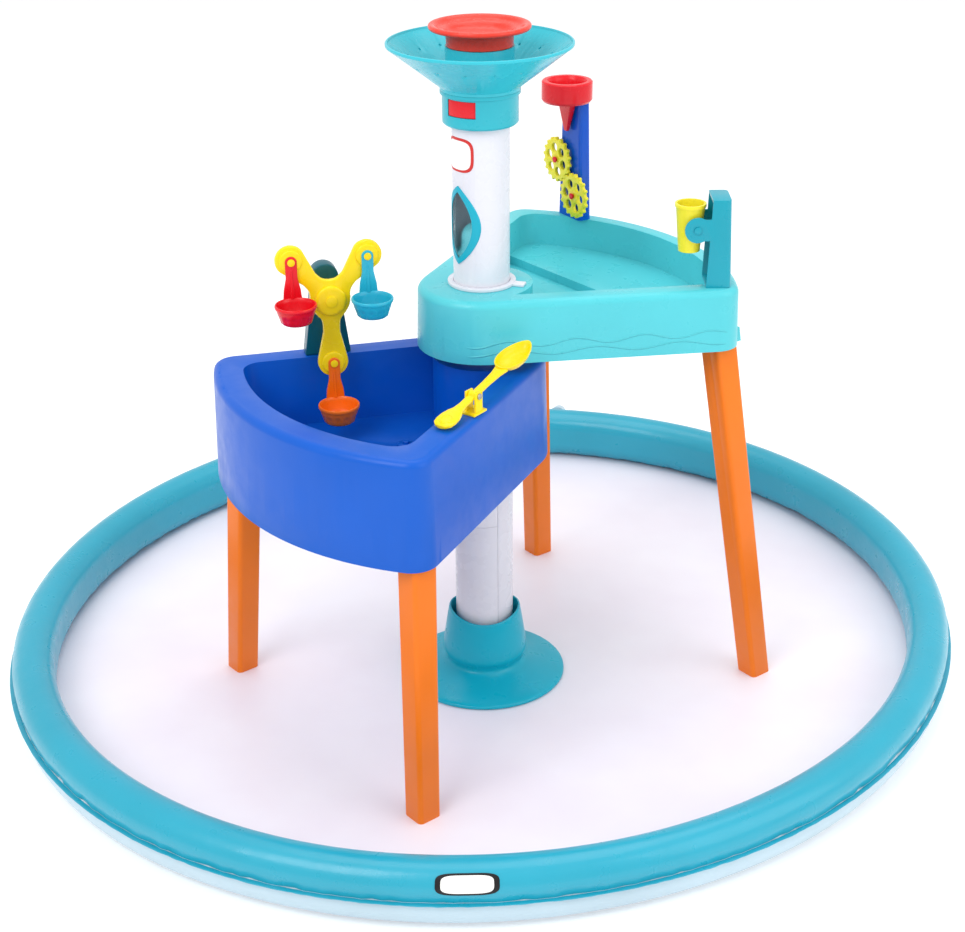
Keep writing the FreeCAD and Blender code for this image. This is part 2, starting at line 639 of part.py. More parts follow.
def raised(name, sketch, low, high, taper=0.0):
    """Extrude a flat outline from one height to another."""
    sketch.Placement = at(z=amount(low))
    made = doc.addObject("Part::Extrusion", name)
    made.Base = sketch
    made.DirMode = "Custom"
    made.Dir = UP
    made.Solid = True
    made.setExpression("LengthFwd", f"({high}) - ({low})")
    made.TaperAngle = taper
    return made


def polar(distance, turn):
    return distance * math.cos(math.radians(turn)), distance * math.sin(math.radians(turn))


LEGS = (("left", "low"), ("front", "low"), ("right", "high"), ("back", "high"))


def leg_line(side, tray):
    """Foot, lean, length and turn of a leg, in the column's own frame."""
    foot = polar(size(f"leg_{side}_foot"), size(f"leg_{side}_foot_turn"))
    top = polar(size(f"leg_{side}_top"), size(f"leg_{side}_top_turn"))
    rise = amount(f"dims.{tray}_bottom + dims.leg_reach - dims.pad_floor_thick")
    lean = ((top[0] - foot[0]) / rise, (top[1] - foot[1]) / rise)
    height = amount(f"dims.{tray}_bottom + dims.{tray}_insert - dims.pad_floor_thick")
    return foot, lean, height, size(f"{tray}_turn")


def leg_solid(name, side, tray, low, high, grow):
    """The slanted square prism of one leg between two heights, grown by a margin."""
    foot, lean, height, turn = leg_line(side, tray)
    floor = size("pad_floor_thick")
    sections = []
    for step, level_z in enumerate((low, high)):
        run = level_z - floor
        share = run / height
        side_text = (f"dims.leg_foot_side + (dims.leg_side - dims.leg_foot_side) * {share}"
                     f" + 2 * ({grow})")
        place = at(foot[0] + lean[0] * run, foot[1] + lean[1] * run, level_z, turn)
        sections.append(rectangle(f"{name}_{step}", side_text, side_text, place))
    return loft(name, sections)


def screw_place(side, tray):
    """Where a leg's screw enters its socket, pointing away from the column."""
    foot, lean, height, turn = leg_line(side, tray)
    run = height - size(f"{tray}_insert") / 2
    middle = (foot[0] + lean[0] * run, foot[1] + lean[1] * run)
    ahead = polar(1.0, turn)
    back = amount("dims.leg_side / 2 + dims.socket_wall + dims.fit_gap + dims.screw_out")
    start = (middle[0] - ahead[0] * back, middle[1] - ahead[1] * back,
             run + size("pad_floor_thick"))
    return along((ahead[0], ahead[1], 0), start)


def tray(kind, label):
    """One tray: skirt hollow from below, basin, hub round the column, leg sockets."""
    def ref(name):
        return f"dims.{kind}_{name}"

    top, bottom, radius = ref("top"), ref("bottom"), ref("radius")
    half, rim = ref("half"), ref("rim")
    wall = "dims.tray_wall"
    rise = amount(f"{top} - {bottom}")
    spread = rise * math.tan(math.radians(size("draft")))

    def skirt_fan(name, inset):
        return fan(name, f"dims.nose_radius + {spread} - ({inset})",
                   f"{radius} + {spread} - ({inset})", half,
                   f"dims.tray_corner + {spread} - ({inset})")

    outer = raised(f"{kind}_outer", skirt_fan(f"{kind}_outer_fan", "0"), bottom, top,
                   -size("draft"))
    outer = fillet(f"{kind}_round", outer, size("tray_edge"),
                   lambda edge: level(edge, amount(top)))
    bevel = f"{top} - dims.tray_edge"
    hollow = raised(f"{kind}_hollow", skirt_fan(f"{kind}_hollow_fan", wall), bottom, bevel,
                    -size("draft"))
    step = f"{spread} + {wall} + dims.tray_edge / 2"
    crown = raised(f"{kind}_crown", skirt_fan(f"{kind}_crown_fan", step),
                   f"{bevel} - 0.1", f"{top} - {wall}")
    skin = cut(f"{kind}_skin", outer, [hollow, crown])

    def basin_fan(name, grow):
        return fan(name, f"dims.nose_radius - {rim} + ({grow})", f"{radius} - {rim} + ({grow})",
                   half, f"dims.basin_corner + ({grow})", f"dims.basin_hub - ({grow})")

    floor = f"{top} - {ref('depth')}"
    shell = raised(f"{kind}_basin_shell", basin_fan(f"{kind}_basin_shell_fan", wall),
                   f"{floor} - {wall}", f"{top} - {wall} / 2")
    hub_hole = f"dims.{'lower' if kind == 'low' else 'upper'}_radius + dims.fit_gap"
    hub = cylinder(f"{kind}_hub", f"{hub_hole} + {wall}", f"{top} - {bottom} - 2",
                   at(z=amount(f"{bottom} + 1")))
    low_end = amount(bottom) + 1.5
    leg_end = amount(f"{bottom} + {ref('insert')} + dims.fit_gap")
    high_end = leg_end + size("socket_wall")
    sides = [side for side, owner in LEGS if owner == kind]
    turn_back = at(turn=-size(f"{kind}_turn"))

    def inside(thing):
        holder = doc.addObject("Part::Compound", thing.Name + "_turned")
        holder.Links = [thing]
        holder.Placement = turn_back
        return holder

    sockets, cavities = [], []
    for side in sides:
        sockets.append(inside(leg_solid(f"socket_{side}", side, kind, low_end, high_end,
                                        "dims.socket_wall + dims.fit_gap")))
        cavities.append(inside(leg_solid(f"cavity_{side}", side, kind, low_end - 40, leg_end,
                                         "dims.fit_gap")))
        place = turn_back.multiply(screw_place(side, kind))
        cavities.append(cylinder(f"screw_hole_{side}", "dims.screw_radius + dims.fit_gap", "24",
                                 place.multiply(at(z=-6))))
    basin = raised(f"{kind}_basin", basin_fan(f"{kind}_basin_fan", "0"), floor, f"{top} + 1")
    bore = cylinder(f"{kind}_bore", hub_hole, f"{top} - {bottom} + 20", at(z=amount(bottom) - 10))
    drain = cylinder(f"{kind}_drain", "dims.drain_radius", "40",
                     at(size("drain_distance"), 0, amount(floor) - 20))
    solid = fuse(f"{kind}_fused", [skin, shell, hub] + sockets)
    clear = [basin, bore, drain] + cavities
    made = cut(f"{kind}_cut", solid, clear)
    if kind == "high":
        made = fuse("high_with_shelf", [made, shelf()])
    node(made, label, column_place(size(f"{kind}_turn")))


def shelf():
    """The raised half of the upper basin, out beyond the deep end."""
    basin = raised("shelf_fan_solid",
                   fan("shelf_fan", "dims.nose_radius - dims.high_rim",
                       "dims.high_radius - dims.high_rim", "dims.high_half",
                       "dims.basin_corner", "dims.basin_hub"),
                   "dims.high_top - dims.high_depth - 1",
                   "dims.high_top - dims.high_depth + dims.shelf_step")
    reach = size("high_radius")
    slab = block("shelf_block", reach, 2 * reach, "200",
                 at(size("shelf_reach") + reach / 2, 0, size("high_bottom") - 50))
    return common("shelf_common", [basin, slab])


def drain_plug(kind, label):
    floor = f"dims.{kind}_top - dims.{kind}_depth"
    stem = "dims.drain_radius - 0.1"
    plug = turned(f"{kind}_plug", [
        ("0", f"{floor} - dims.tray_wall - 2"), (stem, f"{floor} - dims.tray_wall - 2"),
        (stem, f"{floor} + 0.1"), ("dims.plug_head", f"{floor} + 0.1"),
        ("dims.plug_head", f"{floor} + 2.5"), ("5", f"{floor} + 3"), ("5", f"{floor} + 7"),
        ("0", f"{floor} + 7")])
    place = column_place(size(f"{kind}_turn")).multiply(at(size("drain_distance")))
    node(plug, label, place)


def lock_ring():
    """White ring that locks the upper tube to the tray, with one finger tab."""
    low, high = "dims.high_top", "dims.high_top + dims.lock_ring_height"
    ring = tube("lock_tube", "dims.lock_ring_radius", "dims.upper_radius + dims.fit_gap",
                low, high)
    tab = block("lock_tab", "22", "16", "dims.lock_ring_height - 1",
                at(size("lock_ring_radius") + 5, 0, size("high_top")))
    node(fuse("lock_fused", [ring, tab]), "column_lock_ring", column_place(-18))


def legs():
    for side, tray_kind in LEGS:
        _, _, height, _ = leg_line(side, tray_kind)
        floor = size("pad_floor_thick")
        outer = leg_solid(f"leg_{side}_outer", side, tray_kind, floor, floor + height, "0")
        rounded = fillet(f"leg_{side}_round", outer, size("leg_corner"), slant)
        inner = leg_solid(f"leg_{side}_inner", side, tray_kind, floor + 5, floor + height + 5,
                          "-dims.leg_wall")
        hole = cylinder(f"leg_{side}_hole", "dims.screw_radius + dims.fit_gap", "30",
                        screw_place(side, tray_kind).multiply(at(z=-4)))
        node(cut(f"leg_{side}_cut", rounded, [inner, hole]), f"leg_{side}", column_place())
    screws = []
    for side, tray_kind in LEGS:
        place = screw_place(side, tray_kind)
        shank = cylinder(f"screw_{side}", "dims.screw_radius", "16", place)
        head = cylinder(f"screw_head_{side}", "dims.screw_head", "3", place.multiply(at(z=-3)))
        screws.append(fuse(f"screw_{side}_whole", [shank, head]))
    group = doc.addObject("Part::Compound", "screw_group")
    group.Links = screws
    node(group, "leg_screws", column_place())


# ---------------------------------------------------------------- spinner

def wall_place(kind, side, distance, offset, height):
    """A place on a tray's straight wall: X runs out along the wall, Y points out of
    the tray, for the wall on the given side of the tray's middle line."""
    turn = size(f"{kind}_turn") + side * size(f"{kind}_half")
    heading = math.radians(turn)
    outward = math.radians(turn + side * 90)
    x = distance * math.cos(heading) + offset * math.cos(outward)
    y = distance * math.sin(heading) + offset * math.sin(outward)
    return COLUMN.multiply(at(x, y, height, turn + (side - 1) * 90))


def spinner_frame():
    """Origin at the spinner's hub, in the wall's own frame: Y points out of the tray."""
    return wall_place("low", -1, size("spin_along"), 0.0, size("spin_height"))


def spinner():
    place = spinner_frame()
    drop = "dims.spin_height - dims.low_top"
    middle = size("bracket_offset")
    front = "dims.bracket_offset - dims.bracket_depth / 2"
    post = taper_box("bracket_post", ("dims.bracket_width", "dims.bracket_depth"),
                     ("dims.bracket_top_width", "dims.bracket_depth"),
                     amount("dims.bracket_arch_height - dims.low_top"), -amount(drop))
    post.Placement = at(0, middle)
    arch_rise = amount("dims.bracket_arch_height - dims.spin_height")
    arch = cylinder("bracket_arch", "dims.bracket_arch", "dims.bracket_depth",
                    along((0, 1, 0), (0, amount(front), arch_rise)))
    bore = cylinder("bracket_bore", "dims.spin_axle", "dims.bracket_depth - 6",
                    along((0, 1, 0), (0, amount(front) - 1, 0)))
    bracket = cut("bracket_cut", fuse("bracket_fused", [post, arch]), [bore])
    node(bracket, "spinner_bracket", place)

    star_front = amount("dims.star_offset - dims.star_thick")
    start = star_front - 5.4
    axle_end = amount(front) + size("bracket_depth") - 8
    shaft = cylinder("axle_shaft", "dims.spin_axle", axle_end - start,
                     along((0, 1, 0), (0, start, 0)))
    cap = cylinder("axle_cap", "dims.spin_axle + 4", "2.4", along((0, 1, 0), (0, start - 2.4, 0)))
    spacer = cylinder("axle_collar", "dims.spin_axle + 5", amount(front) - size("star_offset") - 0.6,
                      along((0, 1, 0), (0, size("star_offset") + 0.4, 0)))
    node(fuse("axle_fused", [shaft, cap, spacer]), "spinner_axle", place)
    star(place)
    for side, label in (("red", 1), ("aqua", 2), ("orange", 0)):
        scoop(side, label, place)


def arm_ends():
    """Lobe centres (x, z) in the wall's frame: low one first, then left and right."""
    spread, lean = size("arm_spread"), size("star_turn")
    ends = []
    for arm, turn in (("arm_down", 180.0), ("arm_up", -spread), ("arm_up", spread)):
        angle = math.radians(turn - lean)
        ends.append((size(arm) * math.sin(angle), size(arm) * math.cos(angle)))
    return ends


def star(place):
    """Flat three-armed spinner; each lobe carries a pin for its scoop."""
    face = amount("dims.star_offset - dims.star_thick")
    pieces = [cylinder("star_hub_disc", "dims.star_hub", "dims.star_thick",
                       along((0, 1, 0), (0, face, 0)))]
    pieces.append(cylinder("star_boss", "dims.spin_axle + 10", "5.4",
                           along((0, 1, 0), (0, face - 5, 0))))
    pins = []
    for i, (x, z) in enumerate(arm_ends()):
        pieces.append(cylinder(f"star_lobe_{i}", "dims.lobe_radius", "dims.star_thick",
                               along((0, 1, 0), (x, face, z))))
        length = math.hypot(x, z)
        turn = math.degrees(math.atan2(x, z))
        lean = FreeCAD.Placement(FreeCAD.Vector(0, face + size("star_thick") / 2, 0),
                                 FreeCAD.Rotation(FreeCAD.Vector(0, 1, 0), turn))
        pieces.append(block(f"star_arm_{i}", "dims.arm_width", "dims.star_thick", length, lean))
        reach = amount("dims.strap_thick + 1")
        pin = cylinder(f"pin_shank_{i}", "dims.scoop_pin", reach + 8,
                       along((0, 1, 0), (x, face - reach, z)))
        head = cylinder(f"pin_head_{i}", "dims.scoop_pin + 2.5", "2",
                        along((0, 1, 0), (x, face - reach - 2, z)))
        pins.append(fuse(f"pin_{i}", [pin, head]))
    bore = cylinder("star_bore", "dims.spin_axle + dims.spin_fit", "60",
                    along((0, 1, 0), (0, face - 20, 0)))
    holes = [cylinder(f"pin_bore_{i}", "dims.scoop_pin", "9", along((0, 1, 0), (x, face - 1, z)))
             for i, (x, z) in enumerate(arm_ends())]
    node(cut("star_cut", fuse("star_fused", pieces), [bore] + holes), "spinner_star", place)
    group = doc.addObject("Part::Compound", "pin_group")
    group.Links = pins
    node(group, "scoop_pins", place)


def scoop(colour, index, place):
    """A cup on a strap that hangs from a lobe's pin."""
    x, z = arm_ends()[index]
    face = amount("dims.star_offset - dims.star_thick") - 0.5
    cup_y = -size("strap_thick") - size("scoop_radius") + 3
    low = "-dims.scoop_drop - dims.scoop_depth"
    wall = "dims.scoop_wall"
    foot = "dims.scoop_radius - 8"
    cup = turned(f"{colour}_cup", [
        ("0", low), (foot, low), ("dims.scoop_radius - 2", "-dims.scoop_drop - 6"),
        ("dims.scoop_radius", "-dims.scoop_drop - 3"), ("dims.scoop_radius", "-dims.scoop_drop"),
        (f"dims.scoop_radius - {wall}", "-dims.scoop_drop"),
        (f"dims.scoop_radius - 2 - {wall}", "-dims.scoop_drop - 6"),
        (f"{foot} - {wall}", f"{low} + {wall}"), ("0", f"{low} + {wall}")])
    cup.Placement = at(0, cup_y, 0)
    length = amount("dims.scoop_drop + 4")
    strap = taper_box(f"{colour}_strap", ("2 * dims.strap_low", "dims.strap_thick"),
                      ("2 * dims.strap_top", "dims.strap_thick"), length, -length)
    strap.Placement = at(0, -size("strap_thick") / 2)
    eye = cylinder(f"{colour}_eye", "dims.strap_top", "dims.strap_thick",
                   along((0, 1, 0), (0, -size("strap_thick"), 0)))
    bore = cylinder(f"{colour}_bore", "dims.scoop_pin + dims.spin_fit", "20",
                    along((0, 1, 0), (0, -10, 0)))
    inside = cylinder(f"{colour}_inside", f"dims.scoop_radius - 2 - {wall}", "6.5",
                      at(0, cup_y, amount("-dims.scoop_drop - 6")))
    whole = cut(f"{colour}_scoop", fuse(f"{colour}_fused", [cup, strap, eye]), [bore, inside])
    node(whole, f"scoop_{colour}", place.multiply(at(x, face, z)))


# ---------------------------------------------------------------- launcher

def launcher():
    place = COLUMN.multiply(at(size("launch_x"), size("launch_y"), size("launch_height"),
                               size("launch_turn")))
    drop = amount("dims.launch_height - dims.low_top")
    cheek = amount("dims.spoon_width / 2 + 0.6")
    pieces = [block("saddle_plate", "30", "24", "3", at(z=-drop))]
    for side in (-1, 1):
        spot = at(0, side * (cheek + 1.5), -drop)
        pieces.append(block(f"saddle_cheek_{side + 1}", "16", "3", drop + 6, spot))
    bore = cylinder("saddle_bore", "dims.launch_pin", "40", along((0, 1, 0), (0, -20, 0)))
    node(cut("saddle_cut", fuse("saddle_fused", pieces), [bore]), "launcher_saddle", place)

    pin_length = 2 * (cheek + 3) + 4
    pin = cylinder("launch_pin_shank", "dims.launch_pin", pin_length,
                   along((0, 1, 0), (0, -pin_length / 2, 0)))
    heads = [cylinder(f"launch_pin_head_{side + 1}", "dims.launch_pin + 2", "2",
                      along((0, side, 0), (0, side * (cheek + 3.1), 0))) for side in (-1, 1)]
    node(fuse("launch_pin_whole", [pin] + heads), "launcher_pin", place)
    spoon(place)


def spoon(place):
    """Lever with a deep scoop at the raised end and a flat tail to press."""
    tail_end = -size("spoon_tail") - size("tail_long") / 2
    bowl_at = size("spoon_arm") + size("spoon_bowl_long") / 2 - 4
    reach = amount("dims.spoon_arm + dims.spoon_tail")
    middle = (size("spoon_arm") - size("spoon_tail")) / 2
    half = size("spoon_thick") / 2
    beam = block("spoon_beam", reach, "dims.spoon_width", "dims.spoon_thick",
                 at(middle, 0, -half))
    boss = cylinder("spoon_boss", "dims.launch_pin + 4", "dims.spoon_width",
                    along((0, 1, 0), (0, -size("spoon_width") / 2, 0)))
    tail = block("spoon_tail_plate", "dims.tail_long", "dims.tail_wide", "dims.spoon_thick",
                 at(tail_end, 0, -half))
    deep = size("spoon_bowl_deep")
    outer = taper_box("spoon_bowl_outer",
                      ("dims.spoon_bowl_long - 16", "dims.spoon_bowl_wide - 12"),
                      ("dims.spoon_bowl_long", "dims.spoon_bowl_wide"), deep)
    inner = taper_box("spoon_bowl_inner",
                      ("dims.spoon_bowl_long - 20", "dims.spoon_bowl_wide - 16"),
                      ("dims.spoon_bowl_long - 4", "dims.spoon_bowl_wide - 4"), deep)
    outer.Placement = at(bowl_at, 0, half - deep + 2)
    inner.Placement = at(bowl_at, 0, half - deep + 4.2)
    bore = cylinder("spoon_bore", "dims.launch_pin + dims.spin_fit", "40",
                    along((0, 1, 0), (0, -20, 0)))
    whole = cut("spoon_cut", fuse("spoon_fused", [beam, boss, tail, outer]), [bore, inner])
    tilt = at(turn=-size("launch_tilt"), axis=FreeCAD.Vector(0, 1, 0))
    node(whole, "launcher_spoon", place.multiply(tilt))


# ---------------------------------------------------------------- tower

def tower_frame():
    """On the upper tray's back rim; -Y looks the way the wheels face."""
    x, y = polar(size("tower_distance"), size("tower_turn"))
    return COLUMN.multiply(at(x, y, size("high_top"), size("tower_face") + 90))


def wheel_spots():
    """Wheel centres (x, z), upper first, a pitch diameter apart and staggered."""
    across = math.sqrt((2 * size("wheel_pitch")) ** 2 - size("wheel_stagger") ** 2)
    middle = size("wheel_rise")
    rise = size("wheel_stagger") / 2
    return [(-across / 2, middle + rise), (across / 2, middle - rise)]


def tower():
    place = tower_frame()
    height = size("tower_height")
    wall = "2 * dims.tower_wall"
    outer = taper_box("tower_outer", ("dims.tower_width", "dims.tower_depth"),
                      ("dims.tower_top_width", "dims.tower_top_depth"), height)
    rounded = fillet("tower_round", outer, size("tower_corner"), slant)
    inner = taper_box("tower_inner", (f"dims.tower_width - {wall}", f"dims.tower_depth - {wall}"),
                      (f"dims.tower_top_width - {wall}", f"dims.tower_top_depth - {wall}"),
                      height - 3, -0.5)
    bores = []
    for i, (x, z) in enumerate(wheel_spots()):
        bores.append(cylinder(f"tower_bore_{i}", "dims.wheel_axle", "12",
                              along((0, -1, 0), (x, -2, z))))
    boss = [cylinder(f"tower_boss_{i}", "dims.wheel_axle + 1.5", "8",
                     along((0, -1, 0), (x, -size("tower_depth") / 2 + 7, z)))
            for i, (x, z) in enumerate(wheel_spots())]
    shell = fuse("tower_fused", [cut("tower_hollow", rounded, [inner])] + boss)
    node(cut("tower_cut", shell, bores), "tower_shell", place)

    axles = []
    for i, (x, z) in enumerate(wheel_spots()):
        face = -size("tower_depth") / 2 - 1
        reach = amount("dims.wheel_gap + dims.wheel_thick + 2")
        shank = cylinder(f"wheel_axle_{i}", "dims.wheel_axle", reach + 6,
                         along((0, -1, 0), (x, face + 6, z)))
        cap = cylinder(f"wheel_cap_{i}", "dims.wheel_axle + 2", "2",
                       along((0, -1, 0), (x, face - reach, z)))
        axles.append(fuse(f"wheel_axle_whole_{i}", [shank, cap]))
    group = doc.addObject("Part::Compound", "axle_group")
    group.Links = axles
    node(group, "wheel_axles", place)
    for i, label in enumerate(("wheel_upper", "wheel_lower")):
        toothed_wheel(label, i, place)
    tower_cup(place)


def toothed_wheel(label, index, place):
    """Open wheel with short teeth, six spokes and a bored hub."""
    x, z = wheel_spots()[index]
    other = wheel_spots()[1 - index]
    facing = math.atan2(other[1] - z, other[0] - x)
    count = int(size("wheel_teeth"))
    pitch, depth = size("wheel_pitch"), size("tooth_depth")
    root, tip = pitch - depth, pitch + depth * 0.8
    step = 2 * math.pi / count
    first = facing + (step / 2 if index else 0.0)
    points = []
    for i in range(count):
        middle = first + i * step
        for turn, radius in ((-0.30, root), (-0.14, tip), (0.14, tip), (0.30, root)):
            angle = middle + turn * step
            points.append(FreeCAD.Vector(radius * math.cos(angle), 0, radius * math.sin(angle)))
    face = Part.Face(Part.makePolygon(points + [points[0]]))
    thick = size("wheel_thick")
    shape = face.extrude(FreeCAD.Vector(0, -thick, 0))
    ring = (root + size("wheel_axle") + 4) / 2
    hole = min(size("wheel_hole"), ring / 2.6)
    spokes = int(size("wheel_spokes"))
    for i in range(spokes):
        angle = first + (i + 0.5) * 2 * math.pi / spokes
        spot = FreeCAD.Vector(ring * math.cos(angle), 1, ring * math.sin(angle))
        shape = shape.cut(Part.makeCylinder(hole, thick + 2, spot, FreeCAD.Vector(0, -1, 0)))
    radius = size("wheel_axle") + size("spin_fit")
    shape = shape.cut(Part.makeCylinder(radius, thick + 2, FreeCAD.Vector(0, 1, 0),
                                        FreeCAD.Vector(0, -1, 0)))
    wheel = doc.addObject("Part::Feature", label + "_solid")
    wheel.Shape = shape
    start = -size("tower_depth") / 2 - 1 - size("wheel_gap")
    node(wheel, label, place.multiply(at(x, start, z)))


def tower_cup(place):
    """Catch cup with a pointed spout that pours on the upper wheel."""
    low = "dims.tower_height + 0.2"
    high = "dims.tower_height + dims.tower_cup_height"
    wall = "2.5"
    cup = turned("cup_turned", [
        ("3.5", low), ("dims.cup_radius - 3", low), ("dims.cup_radius", f"{low} + 4"),
        ("dims.cup_radius", f"{high} - 2"), ("dims.cup_radius - 2", high),
        ("dims.cup_radius - 9", high), (f"dims.cup_radius - 12", f"{high} - 5"),
        ("dims.cup_radius - 16", f"{low} + 7"), ("3.5", f"{low} + {wall}")])
    cup.Placement = at(0, -size("cup_forward"))
    drop = size("spout_drop")
    rise = size("tower_height")
    across, forward = size("spout_across"), -size("cup_forward")
    spout = taper_box("spout_solid", ("7", "5"), ("36", "12"), drop, rise - drop + 2)
    spout.Placement = at(across, forward)
    duct = cylinder("spout_duct", "2.2", drop + 12, at(across, forward, rise - drop - 2))
    node(cut("cup_cut", fuse("cup_fused", [cup, spout]), [duct]), "tower_cup", place)


# ---------------------------------------------------------------- bucket

def bucket_frame():
    """At the upper tray's outer front corner; X points from the post to the bucket."""
    return COLUMN.multiply(at(size("post_x"), size("post_y"), size("high_top"), 180))


def bucket_group():
    """A post like a channel, open towards the bucket that hangs between its walls."""
    place = bucket_frame()
    inside = "dims.bucket_top + dims.bucket_side"
    outside = f"{inside} + dims.fork_thick"
    low, high = "dims.post_depth", "dims.post_depth - dims.post_taper"
    post = taper_box("post_outer", (low, f"2 * ({outside})"), (high, f"2 * ({outside})"),
                     size("post_height"))
    rounded = fillet("post_round", post, size("post_corner"),
                     lambda edge: slant(edge) and edge.CenterOfMass.x < 0)
    channel = taper_box("post_inner", (low, f"2 * ({inside})"), (high, f"2 * ({inside})"),
                        amount("dims.post_height - dims.post_cap - dims.fork_thick"),
                        size("fork_thick"))
    channel.Placement = at(size("fork_thick"))
    thick, reach, rise = size("fork_thick"), size("fork_reach"), size("fork_rise")
    arm_high = 2 * size("fork_half") - 6
    arms = []
    for side in (-1, 1):
        y = side * (amount(inside) + thick / 2)
        arms.append(block(f"fork_arm_{side + 1}", reach, thick, arm_high,
                          at(reach / 2, y, rise - arm_high / 2)))
        arms.append(cylinder(f"fork_eye_{side + 1}", "dims.fork_half", thick,
                             along((0, 1, 0), (reach, y - thick / 2, rise))))
    bore = cylinder("fork_bore", "dims.bucket_pin", 2 * reach,
                    along((0, 1, 0), (reach, -reach, rise)))
    whole = fuse("post_fused", [cut("post_hollow", rounded, [channel])] + arms)
    node(cut("post_cut", whole, [bore]), "bucket_post", place)
    bucket(place.multiply(at(reach, 0, rise)), amount(inside))


def bucket(pivot, inside):
    """The pail with the sleeve it tips on, and the pin through both."""
    pin_half = inside + size("fork_thick")
    shank = cylinder("bucket_pin_shank", "dims.bucket_pin", 2 * pin_half + 2,
                     along((0, 1, 0), (0, -pin_half - 1, 0)))
    heads = [cylinder(f"bucket_pin_head_{side + 1}", "dims.bucket_pin + 2.5", "2",
                      along((0, side, 0), (0, side * (pin_half + 0.1), 0))) for side in (-1, 1)]
    node(fuse("bucket_pin_whole", [shank] + heads), "bucket_pin", pivot)

    top, low = "dims.bucket_above", "dims.bucket_above - dims.bucket_height"
    wall, lip = "dims.bucket_wall", "dims.bucket_above - dims.bucket_lip"
    pail = turned("pail", [
        ("0", low), ("dims.bucket_low", low), ("dims.bucket_top - 1.5", lip),
        ("dims.bucket_top", lip), ("dims.bucket_top", top),
        (f"dims.bucket_top - 1 - {wall}", top), (f"dims.bucket_low - {wall}", f"{low} + {wall}"),
        ("0", f"{low} + {wall}")])
    pail.Placement = at(size("bucket_forward"))
    sleeve_half = inside - 0.4
    sleeve = cylinder("pail_sleeve", "dims.bucket_sleeve", 2 * sleeve_half,
                      along((0, 1, 0), (0, -sleeve_half, 0)))
    hole = cylinder("pail_hole", "dims.bucket_pin + dims.spin_fit", 4 * inside,
                    along((0, 1, 0), (0, -2 * inside, 0)))
    node(cut("pail_cut", fuse("pail_fused", [pail, sleeve]), [hole]), "bucket", pivot)


def check_and_write():
    doc.recompute()
    for thing in doc.Objects:
        bad = [state for state in thing.State if state in ("Invalid", "Error")]
        if bad:
            raise RuntimeError(f"{thing.Name} ({thing.Label}): {thing.State}")
    os.makedirs("parts", exist_ok=True)
    faulty = [thing.Label for thing in NODES
              if thing.Shape.isNull() or not thing.Shape.isValid() or thing.Shape.Volume <= 0]
    if faulty:
        raise RuntimeError(f"no valid solid: {faulty}")
    for thing in NODES:
        shape = thing.Shape
        shape.exportStep(f"parts/{thing.Label}.step")
        print(f"{thing.Label}: {len(shape.Solids)} solid(s), {shape.Volume / 1000:.1f} cm3")
    print(len(NODES), "nodes")


splash_pad()
base_stand()
column()
collar_and_tab()
funnel_and_bowl()
tray("low", "tray_lower")
tray("high", "tray_upper")
drain_plug("low", "drain_plug_lower")
drain_plug("high", "drain_plug_upper")
lock_ring()
legs()
spinner()
launcher()
tower()
bucket_group()
check_and_write()
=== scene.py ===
import json
import math

import bpy
from mathutils import Euler, Matrix, Vector, noise


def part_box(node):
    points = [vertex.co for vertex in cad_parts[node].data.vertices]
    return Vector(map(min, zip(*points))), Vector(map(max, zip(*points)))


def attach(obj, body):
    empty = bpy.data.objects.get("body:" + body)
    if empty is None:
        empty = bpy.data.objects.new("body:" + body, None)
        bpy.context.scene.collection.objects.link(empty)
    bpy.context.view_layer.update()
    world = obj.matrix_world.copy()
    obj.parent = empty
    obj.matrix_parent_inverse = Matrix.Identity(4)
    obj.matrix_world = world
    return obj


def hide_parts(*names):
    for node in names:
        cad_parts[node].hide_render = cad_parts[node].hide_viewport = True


# Sand and water table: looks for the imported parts, in metres, +Z up.

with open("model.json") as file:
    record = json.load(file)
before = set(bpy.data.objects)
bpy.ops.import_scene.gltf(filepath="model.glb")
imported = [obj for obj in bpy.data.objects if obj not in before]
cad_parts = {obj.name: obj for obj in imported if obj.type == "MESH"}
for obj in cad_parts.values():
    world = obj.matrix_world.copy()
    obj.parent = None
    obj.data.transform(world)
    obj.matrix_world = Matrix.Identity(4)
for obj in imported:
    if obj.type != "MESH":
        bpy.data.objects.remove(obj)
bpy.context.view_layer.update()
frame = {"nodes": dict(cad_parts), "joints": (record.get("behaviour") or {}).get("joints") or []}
nodes = frame["nodes"]
joints = {joint["name"]: joint for joint in frame["joints"]}

MM = 0.001
RING_MIDDLE = 742 * MM
RING_HALF = 32 * MM
SEAM_HEIGHT = 50 * MM
OUT_OF_ROUND = 0.026      # how far the soft pad leans towards an oval, as a share


# ---------------------------------------------------------------- places read from the frame

def middle_of(name):
    low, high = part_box(name)
    return (low + high) / 2


COLUMN = middle_of("column_coupling_sleeve")
SPIN_AXIS = Vector(joints["spin"]["axis"])
SPIN_HUB = Vector(joints["spin"]["pos_m"])


# ---------------------------------------------------------------- materials

def linear(red, green, blue):
    """A colour given on the usual 0 to 255 scale, as the shader's own linear values."""
    def one(value):
        value /= 255
        return value / 12.92 if value <= 0.04045 else ((value + 0.055) / 1.055) ** 2.4
    return (one(red), one(green), one(blue), 1.0)


def scaled(colour, factor):
    return tuple(min(1.0, c * factor) for c in colour[:3]) + (1.0,)


